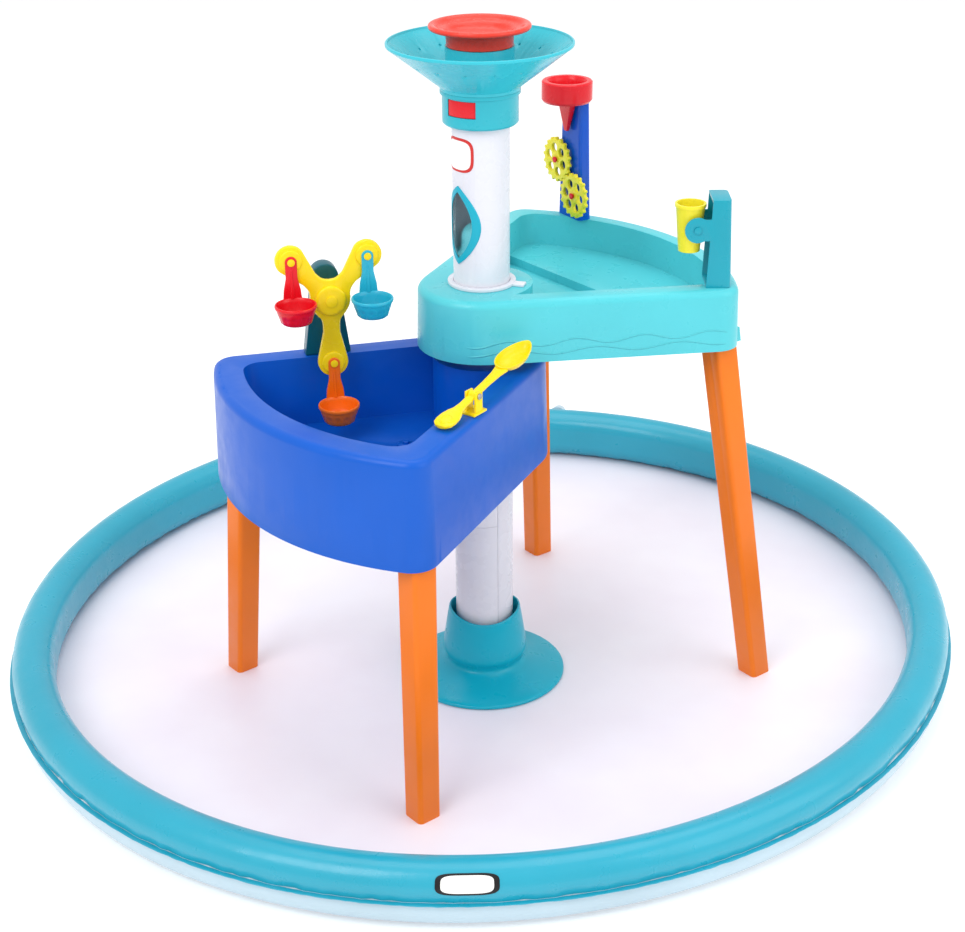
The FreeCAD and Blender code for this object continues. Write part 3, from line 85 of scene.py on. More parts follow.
class Finish:
    """A node material under construction: a Principled shader and what feeds it."""

    def __init__(self, name):
        self.material = bpy.data.materials.new(name)
        self.material.use_nodes = True
        self.nodes = self.material.node_tree.nodes
        self.links = self.material.node_tree.links
        self.shader = self.nodes["Principled BSDF"]
        self.place = self.nodes.new("ShaderNodeTexCoord").outputs["Object"]

    def noise(self, scale, detail=3.0, place=None, rough=0.5):
        made = self.nodes.new("ShaderNodeTexNoise")
        made.inputs["Scale"].default_value = scale
        made.inputs["Detail"].default_value = detail
        made.inputs["Roughness"].default_value = rough
        self.links.new(place or self.place, made.inputs["Vector"])
        return made.outputs["Fac"]

    def ramp(self, value, low, high, first=0.0, last=1.0):
        made = self.nodes.new("ShaderNodeMapRange")
        self.links.new(value, made.inputs["Value"])
        for socket, number in (("From Min", low), ("From Max", high),
                               ("To Min", first), ("To Max", last)):
            made.inputs[socket].default_value = number
        return made.outputs["Result"]

    def blend(self, share, first, second):
        made = self.nodes.new("ShaderNodeMix")
        made.data_type = "RGBA"
        self.links.new(share, made.inputs["Factor"])
        for socket, value in (("A", first), ("B", second)):
            entry = [i for i in made.inputs if i.name == socket and i.type == "RGBA"][0]
            if isinstance(value, tuple):
                entry.default_value = value
            else:
                self.links.new(value, entry)
        return [o for o in made.outputs if o.type == "RGBA"][0]

    def maths(self, kind, first, second=None):
        made = self.nodes.new("ShaderNodeMath")
        made.operation = kind
        for index, value in enumerate((first, second)):
            if value is None:
                continue
            if isinstance(value, (int, float)):
                made.inputs[index].default_value = value
            else:
                self.links.new(value, made.inputs[index])
        return made.outputs[0]

    def split(self, place=None):
        made = self.nodes.new("ShaderNodeSeparateXYZ")
        self.links.new(place or self.place, made.inputs[0])
        return made.outputs

    def turned_place(self, turn, middle=(0, 0, 0)):
        """Object coordinates about a middle, turned about Z."""
        made = self.nodes.new("ShaderNodeMapping")
        made.vector_type = "TEXTURE"
        made.inputs["Location"].default_value = middle
        made.inputs["Rotation"].default_value = (0, 0, turn)
        self.links.new(self.place, made.inputs["Vector"])
        return made.outputs[0]

    def bump(self, height, strength, distance, under=None):
        made = self.nodes.new("ShaderNodeBump")
        made.inputs["Strength"].default_value = strength
        made.inputs["Distance"].default_value = distance
        self.links.new(height, made.inputs["Height"])
        if under is not None:
            self.links.new(under, made.inputs["Normal"])
        return made.outputs["Normal"]

    def feed(self, socket, value):
        if isinstance(value, (int, float, tuple)):
            self.shader.inputs[socket].default_value = value
        else:
            self.links.new(value, self.shader.inputs[socket])


def moulded_plastic(name, colour, rough=0.3, tone=0.07, coat=0.08, glow=0.0):
    """Injection or blow moulded plastic: cloudy tone, fine grain, faint flow marks."""
    finish = Finish(name)
    cloud = finish.noise(7.0, 4.0)
    share = finish.ramp(cloud, 0.3, 0.7)
    base = finish.blend(share, scaled(colour, 1 - tone), scaled(colour, 1 + tone))
    finish.feed("Base Color", base)
    patches = finish.noise(38.0, 2.0)
    finish.feed("Roughness", finish.ramp(patches, 0.3, 0.7, rough - 0.05, rough + 0.07))
    waves = finish.bump(finish.noise(9.0, 0.0), 0.06, 0.0016)
    grain = finish.bump(finish.noise(900.0, 1.0), 0.05, 0.00010, waves)
    finish.feed("Normal", grain)
    finish.feed("Specular IOR Level", 0.3)
    finish.feed("Coat Weight", coat)
    finish.feed("Coat Roughness", 0.14)
    if glow:
        finish.feed("Subsurface Weight", glow)
        finish.feed("Subsurface Radius", (0.6, 0.5, 0.5))
        finish.feed("Subsurface Scale", 0.006)
    return finish


def plain(name, *colour, **settings):
    return moulded_plastic(name, linear(*colour), **settings).material


def pad_vinyl(name, colour, sheen):
    """Soft sheet vinyl: small folds and an uneven satin."""
    finish = Finish(name)
    cloud = finish.noise(4.0, 5.0)
    share = finish.ramp(cloud, 0.3, 0.7)
    finish.feed("Base Color", finish.blend(share, scaled(colour, 0.93), scaled(colour, 1.06)))
    finish.feed("Roughness", finish.ramp(finish.noise(30.0), 0.3, 0.7, sheen - 0.05, sheen + 0.09))
    folds = finish.bump(finish.noise(17.0, 4.0, rough=0.6), 0.30, 0.004)
    finish.feed("Normal", finish.bump(finish.noise(800.0), 0.08, 0.0002, folds))
    finish.feed("Coat Weight", 0.12)
    return finish


def floor_vinyl():
    """Thin white sheet with a faint lilac tint and an uneven satin."""
    finish = Finish("pad_floor_vinyl")
    share = finish.ramp(finish.noise(3.0, 4.0), 0.35, 0.65)
    finish.feed("Base Color", finish.blend(share, linear(236, 228, 238), linear(243, 238, 246)))
    finish.feed("Roughness", finish.ramp(finish.noise(22.0), 0.3, 0.7, 0.34, 0.46))
    ripple = finish.bump(finish.noise(9.0, 3.0), 0.20, 0.004)
    finish.feed("Normal", finish.bump(finish.noise(300.0), 0.05, 0.0003, ripple))
    return finish.material


def wave_relief_plastic():
    """Aqua plastic with two raised wave lines low on the straight front wall."""
    finish = moulded_plastic("tray_aqua_plastic", linear(84, 200, 210), rough=0.3, tone=0.04)
    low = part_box("tray_upper")[0]
    turn = math.radians(WALL_TURN)
    spot = finish.split(finish.turned_place(turn, tuple(COLUMN.xy) + (low.z,)))
    facing = finish.nodes.new("ShaderNodeNewGeometry").outputs["Normal"]
    dot = finish.nodes.new("ShaderNodeVectorMath")
    dot.operation = "DOT_PRODUCT"
    dot.inputs[1].default_value = (math.sin(turn), -math.cos(turn), 0)
    finish.links.new(facing, dot.inputs[0])
    on_wall = finish.ramp(dot.outputs["Value"], 0.93, 0.98)
    raised = None
    for height, swing, length in ((0.030, 0.0045, 62.0), (0.016, 0.004, 50.0)):
        wave = finish.maths("SINE", finish.maths("MULTIPLY", spot["X"], length))
        line = finish.maths("MULTIPLY_ADD", wave, swing)
        line.node.inputs[2].default_value = height
        gap = finish.maths("ABSOLUTE", finish.maths("SUBTRACT", spot["Z"], line))
        band = finish.ramp(gap, 0.0004, 0.0016, 1.0, 0.0)
        raised = band if raised is None else finish.maths("MAXIMUM", raised, band)
    mask = finish.maths("MULTIPLY", raised, on_wall)
    old = finish.shader.inputs["Normal"].links[0].from_socket
    finish.feed("Normal", finish.bump(mask, 0.8, 0.0012, old))
    return finish.material


def clear_plastic():
    finish = Finish("window_clear")
    finish.feed("Base Color", linear(225, 244, 246))
    finish.feed("Roughness", finish.ramp(finish.noise(12.0), 0.3, 0.7, 0.02, 0.07))
    finish.feed("Transmission Weight", 1.0)
    finish.feed("IOR", 1.05)
    finish.feed("Alpha", 0.4)
    return finish.material


def brushed_steel():
    finish = Finish("screw_steel")
    finish.feed("Metallic", 1.0)
    share = finish.ramp(finish.noise(300.0), 0.3, 0.7)
    finish.feed("Base Color", finish.blend(share, linear(150, 152, 155), linear(190, 190, 192)))
    finish.feed("Roughness", finish.ramp(finish.noise(600.0), 0.3, 0.7, 0.25, 0.45))
    return finish.material


# ---------------------------------------------------------------- making meshes

def deselect():
    if bpy.context.mode != "OBJECT":
        bpy.ops.object.mode_set(mode="OBJECT")
    bpy.ops.object.select_all(action="DESELECT")


def only(piece):
    deselect()
    piece.select_set(True)
    bpy.context.view_layer.objects.active = piece


def named(name):
    piece = bpy.context.active_object
    piece.name = piece.data.name = name
    return piece


def first_ring(name, points):
    """A closed outline as a ring of selected vertices."""
    deselect()
    bpy.ops.mesh.primitive_circle_add(vertices=len(points), radius=1.0, fill_type="NOTHING")
    piece = named(name)
    bpy.ops.object.transform_apply()
    for vertex, point in zip(piece.data.vertices, points):
        vertex.co = point
    return piece


def next_ring(piece, points):
    """Extrude the selected ring of edges and lay the new ring on the next outline."""
    count = len(points)
    bpy.ops.object.mode_set(mode="EDIT")
    bpy.ops.mesh.extrude_edges_move()
    bpy.ops.object.mode_set(mode="OBJECT")
    total = len(piece.data.vertices)
    for i, point in enumerate(points):
        piece.data.vertices[total - count + i].co = point


def cap():
    """Closes the open ring that is selected."""
    bpy.ops.object.mode_set(mode="EDIT")
    bpy.ops.mesh.edge_face_add()
    bpy.ops.object.mode_set(mode="OBJECT")


def outwards(piece):
    only(piece)
    bpy.ops.object.mode_set(mode="EDIT")
    bpy.ops.mesh.select_all(action="SELECT")
    bpy.ops.mesh.remove_doubles(threshold=1e-6)
    bpy.ops.mesh.normals_make_consistent(inside=False)
    bpy.ops.object.mode_set(mode="OBJECT")


def skinned(name, rings, capped=(True, True)):
    """A surface through rings of points that all have the same count."""
    piece = first_ring(name, rings[0])
    if capped[0]:
        cap()
    for points in rings[1:]:
        next_ring(piece, points)
    if capped[1]:
        cap()
    outwards(piece)
    return piece


def circle_points(radius, height, count, middle=(0.0, 0.0), wobble=None):
    points = []
    for i in range(count):
        turn = 2 * math.pi * i / count
        reach = radius * (1 + wobble(turn)) if wobble else radius
        points.append(Vector((middle[0] + reach * math.cos(turn),
                              middle[1] + reach * math.sin(turn), height)))
    return points


def lathed(name, profile, middle=(0.0, 0.0), count=72, capped=(True, True)):
    """A turned piece from (radius, height) or (radius, height, wobble) steps."""
    rings = [circle_points(step[0], step[1], count, middle, step[2] if len(step) > 2 else None)
             for step in profile]
    return skinned(name, rings, capped)


def smooth_profile(points, steps=6):
    """A Catmull-Rom run through (radius, height) points."""
    spots = [Vector((*p, 0)) for p in points]
    spots = [2 * spots[0] - spots[1]] + spots + [2 * spots[-1] - spots[-2]]
    run = []
    for i in range(1, len(spots) - 2):
        a, b, c, d = spots[i - 1:i + 3]
        for k in range(steps):
            t = k / steps
            p = 0.5 * (2 * b + (c - a) * t + (2 * a - 5 * b + 4 * c - d) * t * t
                       + (3 * b - a - 3 * c + d) * t ** 3)
            run.append((max(p.x, 1e-5), p.y))
    run.append(points[-1])
    return run


def bevelled(piece, width, segments=3, angle=30.0):
    only(piece)
    made = piece.modifiers.new("edge", "BEVEL")
    made.width = width
    made.segments = segments
    made.limit_method = "ANGLE"
    made.angle_limit = math.radians(angle)
    made.use_clamp_overlap = True
    bpy.ops.object.modifier_apply(modifier=made.name)


def cut_out(piece, cutter, kind="DIFFERENCE"):
    only(piece)
    made = piece.modifiers.new("cut", "BOOLEAN")
    made.object = cutter
    made.operation = kind
    made.solver = "EXACT"
    bpy.ops.object.modifier_apply(modifier=made.name)
    bpy.data.objects.remove(cutter)


def joined(name, *pieces):
    deselect()
    for piece in pieces:
        piece.select_set(True)
    bpy.context.view_layer.objects.active = pieces[0]
    bpy.ops.object.join()
    return named(name)


def out_of_round(piece):
    """Lean a piece of the soft pad towards a slanting oval, as it lies when filled."""
    for vertex in piece.data.vertices:
        x, y = vertex.co.x, vertex.co.y
        vertex.co.x, vertex.co.y = x + OUT_OF_ROUND * y, y + OUT_OF_ROUND * x
    return piece


def placed(piece, matrix):
    """Move the mesh itself, so that the object stays at the origin."""
    piece.data.transform(matrix)
    if matrix.determinant() < 0:
        outwards(piece)
    return piece


def finished(piece, material, body, slot, *replaced, angle=35.0, coloured=True):
    """Shade a piece, give it its finish and set it on its body."""
    only(piece)
    bpy.ops.object.shade_smooth_by_angle(angle=math.radians(angle))
    if coloured:
        piece.data.materials.clear()
        piece.data.materials.append(material)
    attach(piece, body)
    if replaced:
        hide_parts(*replaced)
    return piece


def refined(node, material, body, slot, edge, segments=2, angle=28.0):
    """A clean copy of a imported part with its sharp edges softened."""
    deselect()
    source = nodes[node]
    source.select_set(True)
    bpy.context.view_layer.objects.active = source
    bpy.ops.object.duplicate(linked=False)
    piece = named("moulded_" + node)
    piece.parent = None
    for key in list(piece.keys()):
        del piece[key]
    bpy.ops.object.mode_set(mode="EDIT")
    bpy.ops.mesh.select_all(action="SELECT")
    bpy.ops.mesh.customdata_custom_splitnormals_clear()
    bpy.ops.mesh.remove_doubles(threshold=2e-6)
    bpy.ops.mesh.dissolve_limited(angle_limit=math.radians(0.4))
    bpy.ops.object.mode_set(mode="OBJECT")
    if edge:
        bevelled(piece, edge, segments, angle)
    return finished(piece, material, body, slot, node)


# ---------------------------------------------------------------- finishes

WALL_TURN = 7.5           # heading of the upper tray's front wall, degrees

TEAL = plain("teal_plastic", 10, 172, 196, rough=0.3, tone=0.05)
FUNNEL_TEAL = plain("funnel_teal_plastic", 52, 186, 202, rough=0.26, tone=0.04)
LIGHT_TEAL = plain("light_teal_plastic", 44, 178, 194, rough=0.3, tone=0.04)
DOME_TEAL = plain("dome_teal_plastic", 120, 208, 218, rough=0.28, tone=0.04)
DARK_TEAL = plain("dark_teal_plastic", 8, 92, 108, rough=0.34)
POST_TEAL = plain("post_teal_plastic", 22, 158, 178, rough=0.3, tone=0.05)
WHITE = plain("column_white_plastic", 224, 224, 232, rough=0.26, tone=0.015)
BLUE = plain("tray_blue_plastic", 0, 88, 194, rough=0.34, tone=0.04, coat=0.02)
AQUA = wave_relief_plastic()
ORANGE = plain("leg_orange_plastic", 240, 118, 4, rough=0.34, tone=0.04)
YELLOW = plain("spinner_yellow_plastic", 252, 218, 10, rough=0.26, tone=0.03, glow=0.1)
WHEEL_YELLOW = plain("wheel_yellow_plastic", 240, 226, 50, rough=0.28, tone=0.03, glow=0.15)
SCOOP_RED = plain("scoop_red_plastic", 226, 18, 34, rough=0.26, tone=0.04, coat=0.1)
SCOOP_AQUA = plain("scoop_aqua_plastic", 40, 176, 204, rough=0.26, tone=0.04)
SCOOP_ORANGE = plain("scoop_orange_plastic", 240, 112, 20, rough=0.26, tone=0.04)
BOWL_RED = plain("bowl_red_plastic", 244, 62, 46, rough=0.24, tone=0.05, glow=0.15)
TOWER_BLUE = plain("tower_blue_plastic", 0, 84, 196, rough=0.16, tone=0.1, glow=0.2)
BADGE_WHITE = plain("badge_white_print", 244, 243, 240, rough=0.4, tone=0.01)
BADGE_BLACK = plain("badge_black_print", 22, 20, 24, rough=0.38, tone=0.1)
BADGE_RED = plain("badge_red_print", 206, 44, 40, rough=0.36, tone=0.05)
CLEAR = clear_plastic()
STEEL = brushed_steel()
FLOOR = floor_vinyl()
PAD_TEAL = pad_vinyl("pad_teal_vinyl", linear(28, 160, 186), 0.30).material
# White vinyl given a grey-blue colour, darker than the floor sheet's white: painted shade for the
# ring's lower, downward-facing band.
PAD_WHITE_PAINTED_SHADE = pad_vinyl("pad_white_vinyl_painted_shade", linear(186, 208, 220), 0.40).material


# ---------------------------------------------------------------- splash pad

def pucker(turn):
    """Small folds along a weld: how far the vinyl pulls in at an angle, 0 to about 1."""
    spot = Vector((math.cos(turn), math.sin(turn), 0))
    fine = noise.noise(spot * 46) + 0.6 * noise.noise(spot * 95 + Vector((5, 0, 0)))
    return max(0.0, 0.35 + fine)


def sag(turn):
    """Slow unevenness of the inflated tube round the pad."""
    spot = Vector((math.cos(turn), math.sin(turn), 2.0))
    return noise.noise(spot * 2.2)


def ring_section(low, high):
    """Places round the tube's section, from the weld over the top: (angle, height of
    the circle's middle). The weld has its own rows on the upright side."""
    foot_middle, top_middle = low.z + RING_HALF, high.z - RING_HALF
    rows = [(0.0, SEAM_HEIGHT), (0.0, SEAM_HEIGHT + 4 * MM), (0.0, SEAM_HEIGHT + 10 * MM)]
    rows += [(math.radians(10 * k), top_middle) for k in range(19)]
    rows += [(math.radians(180 + 10 * k), foot_middle) for k in range(19)]
    rows += [(2 * math.pi, SEAM_HEIGHT - 10 * MM), (2 * math.pi, SEAM_HEIGHT - 4 * MM)]
    return rows


def pad_ring():
    """Inflated tube: puckered at the weld and at its foot, slightly uneven all round."""
    low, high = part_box("pad_ring_tube")
    around = 360
    foot_angle = math.radians(236)
    rings = []
    for angle, middle in ring_section(low, high):
        height = middle + RING_HALF * math.sin(angle)
        at_weld = max(0.0, 1 - abs(height - SEAM_HEIGHT) / (16 * MM)) if math.cos(angle) > 0 else 0
        at_foot = max(0.0, 1 - abs(angle - foot_angle) / 0.8)
        points = []
        for i in range(around):
            turn = 2 * math.pi * i / around
            pull = at_weld * (1.2 + 3.2 * pucker(turn)) + at_foot * 2.6 * pucker(turn + 0.3)
            puff = RING_HALF + (0.6 + 0.7 * sag(turn) - pull) * MM
            reach = RING_MIDDLE + puff * math.cos(angle)
            height = max(middle + puff * math.sin(angle), low.z + 0.3 * MM)
            points.append(Vector((reach * math.cos(turn), reach * math.sin(turn), height)))
        rings.append(points)
    piece = skinned("pad_ring_vinyl", rings, capped=(False, False))
    only(piece)
    bpy.ops.object.mode_set(mode="EDIT")
    bpy.ops.mesh.select_all(action="DESELECT")
    bpy.ops.mesh.select_non_manifold()
    bpy.ops.mesh.bridge_edge_loops()
    bpy.ops.object.mode_set(mode="OBJECT")
    outwards(piece)
    piece.data.materials.append(PAD_TEAL)
    # Second slot: the ring's lower outer band of white vinyl, in the darkened white that paints its
    # shade.
    piece.data.materials.append(PAD_WHITE_PAINTED_SHADE)
    for face in piece.data.polygons:
        spot = face.center
        outer = math.hypot(spot.x, spot.y) > RING_MIDDLE
        face.material_index = 1 if outer and spot.z < SEAM_HEIGHT else 0
    finished(out_of_round(piece), PAD_TEAL, "stand", "pad_vinyl_teal", "pad_ring_tube",
             "pad_skirt_band", angle=80, coloured=False)


def weld_strip():
    """The flat welded edge that stands out between the teal and the white vinyl."""
    low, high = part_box("pad_weld_flange")
    around = 720
    outer, inner = high.x, RING_MIDDLE + RING_HALF - 1.5 * MM
    middle = (low.z + high.z) / 2

    def ring(reach, height, wave):
        points = []
        for i in range(around):
            turn = 2 * math.pi * i / around
            drop = wave * noise.noise(Vector((math.cos(turn), math.sin(turn), 1)) * 60)
            points.append(Vector((reach * math.cos(turn), reach * math.sin(turn),
                                  height + drop)))
        return points

    thin = 0.6 * MM
    rings = [ring(inner, middle - thin, 0), ring(outer - 1 * MM, middle - thin, 0.8 * MM),
             ring(outer, middle, 1.2 * MM), ring(outer - 1 * MM, middle + thin, 0.8 * MM),
             ring(inner, middle + thin, 0)]
    piece = skinned("pad_weld_strip", rings, capped=(False, False))
    finished(out_of_round(piece), PAD_TEAL, "stand", "pad_vinyl_teal", "pad_weld_flange",
             angle=60)


def foot_spots():
    """Where legs and base stand on the floor: (place, clear radius)."""
    spots = [(COLUMN.xy, 145 * MM)]
    for side in ("left", "front", "right", "back"):
        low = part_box("leg_" + side)[0]
        foot = [v.co for v in nodes["leg_" + side].data.vertices if v.co.z < low.z + 0.01]
        middle = sum(foot, Vector()) / len(foot)
        spots.append((middle.xy, 45 * MM))
    return spots


def pad_floor():
    """Floor sheet with shallow ripples that run in from the ring."""
    low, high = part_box("pad_floor_sheet")
    around = 288
    reach = high.x
    spots = foot_spots()

    def surface(x, y):
        radius = math.hypot(x, y)
        near = min((Vector((x, y)) - spot).length - clear for spot, clear in spots)
        calm = min(1.0, max(0.0, near / 0.06))
        edge = min(1.0, max(0.0, (0.70 - radius) / 0.05))
        turn = Vector((x, y, 0)) / max(radius, 1e-6)
        radial = noise.noise(turn * 9) * noise.noise(Vector((x, y, 0)) * 5)
        soft = noise.noise(Vector((x, y, 3)) * 7)
        swell = 1.4 * max(0.0, soft) + 5.0 * abs(radial) * (radius / reach) ** 2
        return high.z + swell * MM * calm * edge

    rings = []
    steps = 40
    for k in range(steps):
        radius = reach * (1 - k / steps) ** 0.9
        rings.append([Vector((radius * math.cos(2 * math.pi * i / around),
                              radius * math.sin(2 * math.pi * i / around), 0))
                      for i in range(around)])
    for points in rings:
        for point in points:
            point.z = surface(point.x, point.y)
    bottom = circle_points(reach, low.z, around)
    piece = skinned("pad_floor_vinyl_sheet", [bottom] + rings)
    finished(out_of_round(piece), FLOOR, "stand", "pad_vinyl_white", "pad_floor_sheet",
             angle=50)


def pad_patch():
    """Blank oval badge on the ring's front: black rim, white field."""
    middle = math.radians(-90.6)
    half_turn = 43 * MM / (RING_MIDDLE + RING_HALF)
    centre_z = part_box("pad_ring_tube")[1].z - RING_HALF
    for name, grow, lift, finish in (("pad_badge_rim", 1.0, 1.7, BADGE_BLACK),
                                     ("pad_badge_field", 0.80, 2.3, BADGE_WHITE)):
        rings = []
        for share in (1.0, 0.98, 0.9, 0.6, 0.3, 0.05):
            ring = []
            for i in range(96):
                angle = 2 * math.pi * i / 96
                x = abs(math.cos(angle)) ** 0.5 * math.copysign(1, math.cos(angle))
                y = abs(math.sin(angle)) ** 0.5 * math.copysign(1, math.sin(angle))
                trim = 1.0 if name == "pad_badge_rim" else 1.04
                along = x * share * (grow * trim)
                tall = y * share * grow
                turn = middle + along * half_turn
                slope = math.radians(28 + tall * 26)
                height = (lift if share < 0.99 else 0.2) * MM
                reach = RING_MIDDLE + (RING_HALF + height) * math.cos(slope)
                ring.append(Vector((reach * math.cos(turn), reach * math.sin(turn),
                                    centre_z + (RING_HALF + height) * math.sin(slope))))
            rings.append(ring)
        piece = out_of_round(skinned(name, rings, capped=(False, True)))
        if name == "pad_badge_rim":
            finished(piece, finish, "stand", "badge_white", "pad_badge_plate")
        else:
            finished(piece, finish, "stand", "badge_white")


# ---------------------------------------------------------------- base and column

def base():
    """Flared foot that runs up into a flower-pot cup with a saddle-shaped rim."""
    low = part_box("base_stand")[0]
    middle = COLUMN.xy
    outside = smooth_profile([
        (0.1300, 0.0040), (0.1285, 0.0085), (0.1180, 0.0120), (0.0950, 0.0170), (0.0740, 0.0235),
        (0.0640, 0.0300), (0.0635, 0.0370), (0.0672, 0.0470), (0.0668, 0.0620), (0.0635, 0.0850),
        (0.0600, 0.1080), (0.0578, 0.1200)], 5)
    profile = [(0.0470, low.z), (0.1270, low.z)] + outside
    profile += [(0.0572, 0.1228), (0.0560, 0.1240), (0.0545, 0.1236), (0.0538, 0.1180),
                (0.0532, 0.0800), (0.0470, 0.0720)]
    piece = lathed("base_flared_foot", profile, middle, 96, (False, False))
    saddle = 0.1675
    for vertex in piece.data.vertices:
        share = max(0.0, min(1.0, (vertex.co.z - 0.075) / 0.049))
        offset = vertex.co.y - middle.y
        vertex.co.z -= share * offset * offset / (2 * saddle)
    finished(piece, TEAL, "stand", "teal_plastic", "base_stand", angle=40)


def column_pieces():
    for name in ("column_lower_back_shell", "column_lower_front_shell",
                 "column_middle_front_shell"):
        refined(name, WHITE, "stand", "column_white", 0.5 * MM)
    refined("column_upper_tube", WHITE, "stand", "column_white", 0.6 * MM)
    refined("column_coupling_sleeve", WHITE, "stand", "column_white", 0.5 * MM)
    refined("column_lock_ring", WHITE, "stand", "column_white", 1.2 * MM, 3)
    refined("window_frame", TEAL, "stand", "teal_plastic", 0.7 * MM, 3)
    refined("window_pane", CLEAR, "stand", "clear_window", 0)
    low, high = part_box("water_diverter")
    dome = [(0.0390, low.z), (0.0392, low.z + 0.004)] + smooth_profile([
        (0.0330, low.z + 0.0055), (0.0300, low.z + 0.014), (0.0288, low.z + 0.030),
        (0.0240, low.z + 0.040), (0.0140, low.z + 0.046), (0.0010, high.z)], 4)
    piece = lathed("diverter_dome", dome, COLUMN.xy, 64, (True, True))
    finished(piece, DOME_TEAL, "stand", "light_teal", "water_diverter")


def column_badge():
    """Blank badge on the upper tube: red rim, white field."""
    low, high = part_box("column_badge_plate")
    box_middle = (low + high) / 2
    facing = math.atan2(box_middle.y - COLUMN.y, box_middle.x - COLUMN.x)
    radius = 42.0 * MM
    half_turn = 28 * MM / radius
    half_high = (high.z - low.z) / 2
    for name, grow, lift, finish in (("column_badge_rim", 1.0, 0.9, BADGE_RED),
                                     ("column_badge_field", 0.86, 1.4, BADGE_WHITE)):
        rings = []
        for share in (1.0, 0.98, 0.8, 0.5, 0.2, 0.03):
            ring = []
            for i in range(80):
                angle = 2 * math.pi * i / 80
                x = abs(math.cos(angle)) ** 0.55 * math.copysign(1, math.cos(angle))
                y = abs(math.sin(angle)) ** 0.55 * math.copysign(1, math.sin(angle))
                turn = facing + x * share * grow * half_turn
                reach = radius + (lift if share < 0.99 else 0.1) * MM
                ring.append(Vector((COLUMN.x + reach * math.cos(turn),
                                    COLUMN.y + reach * math.sin(turn),
                                    box_middle.z + y * share * grow * half_high)))
            rings.append(ring)
        piece = skinned(name, rings, capped=(False, True))
        if name == "column_badge_rim":
            finished(piece, finish, "stand", "badge_white", "column_badge_plate")
        else:
            finished(piece, finish, "stand", "badge_white")


def column_head():
    refined("collar_housing", LIGHT_TEAL, "stand", "light_teal", 0.8 * MM, 3)
    refined("release_leaf_spring", LIGHT_TEAL, "stand", "light_teal", 0)
    refined("release_tab", SCOOP_RED, "tab", "axle_red", 1.0 * MM, 3)
    refined("funnel", FUNNEL_TEAL, "stand", "funnel_teal", 0.5 * MM, 2)
    low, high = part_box("top_bowl")
    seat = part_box("funnel")[1].z - 0.006 + 0.0001
    outside = smooth_profile([(0.0480, seat + 0.001), (0.0482, seat + 0.010),
                              (0.0500, high.z - 0.0115), (0.0600, high.z - 0.0090),
                              (0.0705, high.z - 0.0075), (0.0730, high.z - 0.0045),
                              (0.0722, high.z - 0.0012), (0.0690, high.z),
                              (0.0640, high.z - 0.0012), (0.0590, high.z - 0.0055),
                              (0.0540, high.z - 0.0062), (0.0480, high.z - 0.0085),
                              (0.0400, high.z - 0.0150), (0.0200, high.z - 0.0185),
                              (0.0010, high.z - 0.0190)], 4)
    profile = [(0.0010, seat - 0.001), (0.0430, seat - 0.001), (0.0432, low.z), (0.0460, low.z),
               (0.0462, seat - 0.0005)] + outside
    piece = lathed("lift_off_bowl", profile, COLUMN.xy, 96, (True, True))
    finished(piece, BOWL_RED, "bowl", "bowl_red", "top_bowl", angle=30)


# ---------------------------------------------------------------- trays and legs

def trays_and_legs():
    refined("tray_lower", BLUE, "stand", "tray_blue", 3.0 * MM, 3, 32)
    refined("tray_upper", AQUA, "stand", "tray_aqua", 2.6 * MM, 3, 32)
    refined("drain_plug_lower", BLUE, "lower_plug", "tray_blue", 0.6 * MM)
    refined("drain_plug_upper", AQUA, "upper_plug", "tray_aqua", 0.6 * MM)
    for side in ("left", "front", "right", "back"):
        refined("leg_" + side, ORANGE, "stand", "leg_orange", 1.2 * MM, 2)
    refined("leg_screws", STEEL, "stand", "screw_steel", 0.4 * MM)


# ---------------------------------------------------------------- spinner

def spinner_matrix():
    """The spinner's own axes: X level along the tray's wall, Y along the axle, Z up."""
    side = SPIN_AXIS.cross(Vector((0, 0, 1))).normalized()
    matrix = Matrix((side, SPIN_AXIS, Vector((0, 0, 1)))).transposed().to_4x4()
    matrix.translation = SPIN_HUB
    return matrix


def lobe_ends():
    """Where the scoops' pins are, in the spinner's own frame."""
    back = spinner_matrix().inverted()
    ends = {}
    for colour in ("red", "aqua", "orange"):
        ends[colour] = back @ Vector(joints[colour + "_scoop_hang"]["pos_m"])
    return ends


def arm_outline(ends, grow, count=180):
    """Outline of the hub, three arms and three lobes run smoothly together."""
    def gap(x, z):
        parts = [math.hypot(x, z) - 0.030]
        for end in ends:
            length = math.hypot(end.x, end.z)
            along = max(0.0, min(length, (x * end.x + z * end.z) / length))
            parts.append(math.hypot(x - end.x * along / length, z - end.z * along / length)
                         - 0.0125)
            parts.append(math.hypot(x - end.x, z - end.z) - 0.0225)
        return -math.log(sum(math.exp(-part / 0.0042) for part in parts)) * 0.0042

    points = []
    for i in range(count):
        turn = 2 * math.pi * i / count
        dx, dz = math.cos(turn), math.sin(turn)
        reach = 0.170
        while gap(dx * reach, dz * reach) > grow and reach > 0.010:
            reach -= 0.0005
        points.append((dx * reach, dz * reach))
    return points


def spread_outline(points, count):
    """The same outline with its points evenly spaced along it."""
    lengths = [0.0]
    for i, point in enumerate(points):
        after = points[(i + 1) % len(points)]
        lengths.append(lengths[-1] + math.dist(point, after))
    made, i = [], 0
    for k in range(count):
        want = lengths[-1] * k / count
        while lengths[i + 1] < want:
            i += 1
        share = (want - lengths[i]) / max(1e-9, lengths[i + 1] - lengths[i])
        a, b = points[i], points[(i + 1) % len(points)]
        made.append((a[0] + (b[0] - a[0]) * share, a[1] + (b[1] - a[1]) * share))
    return made


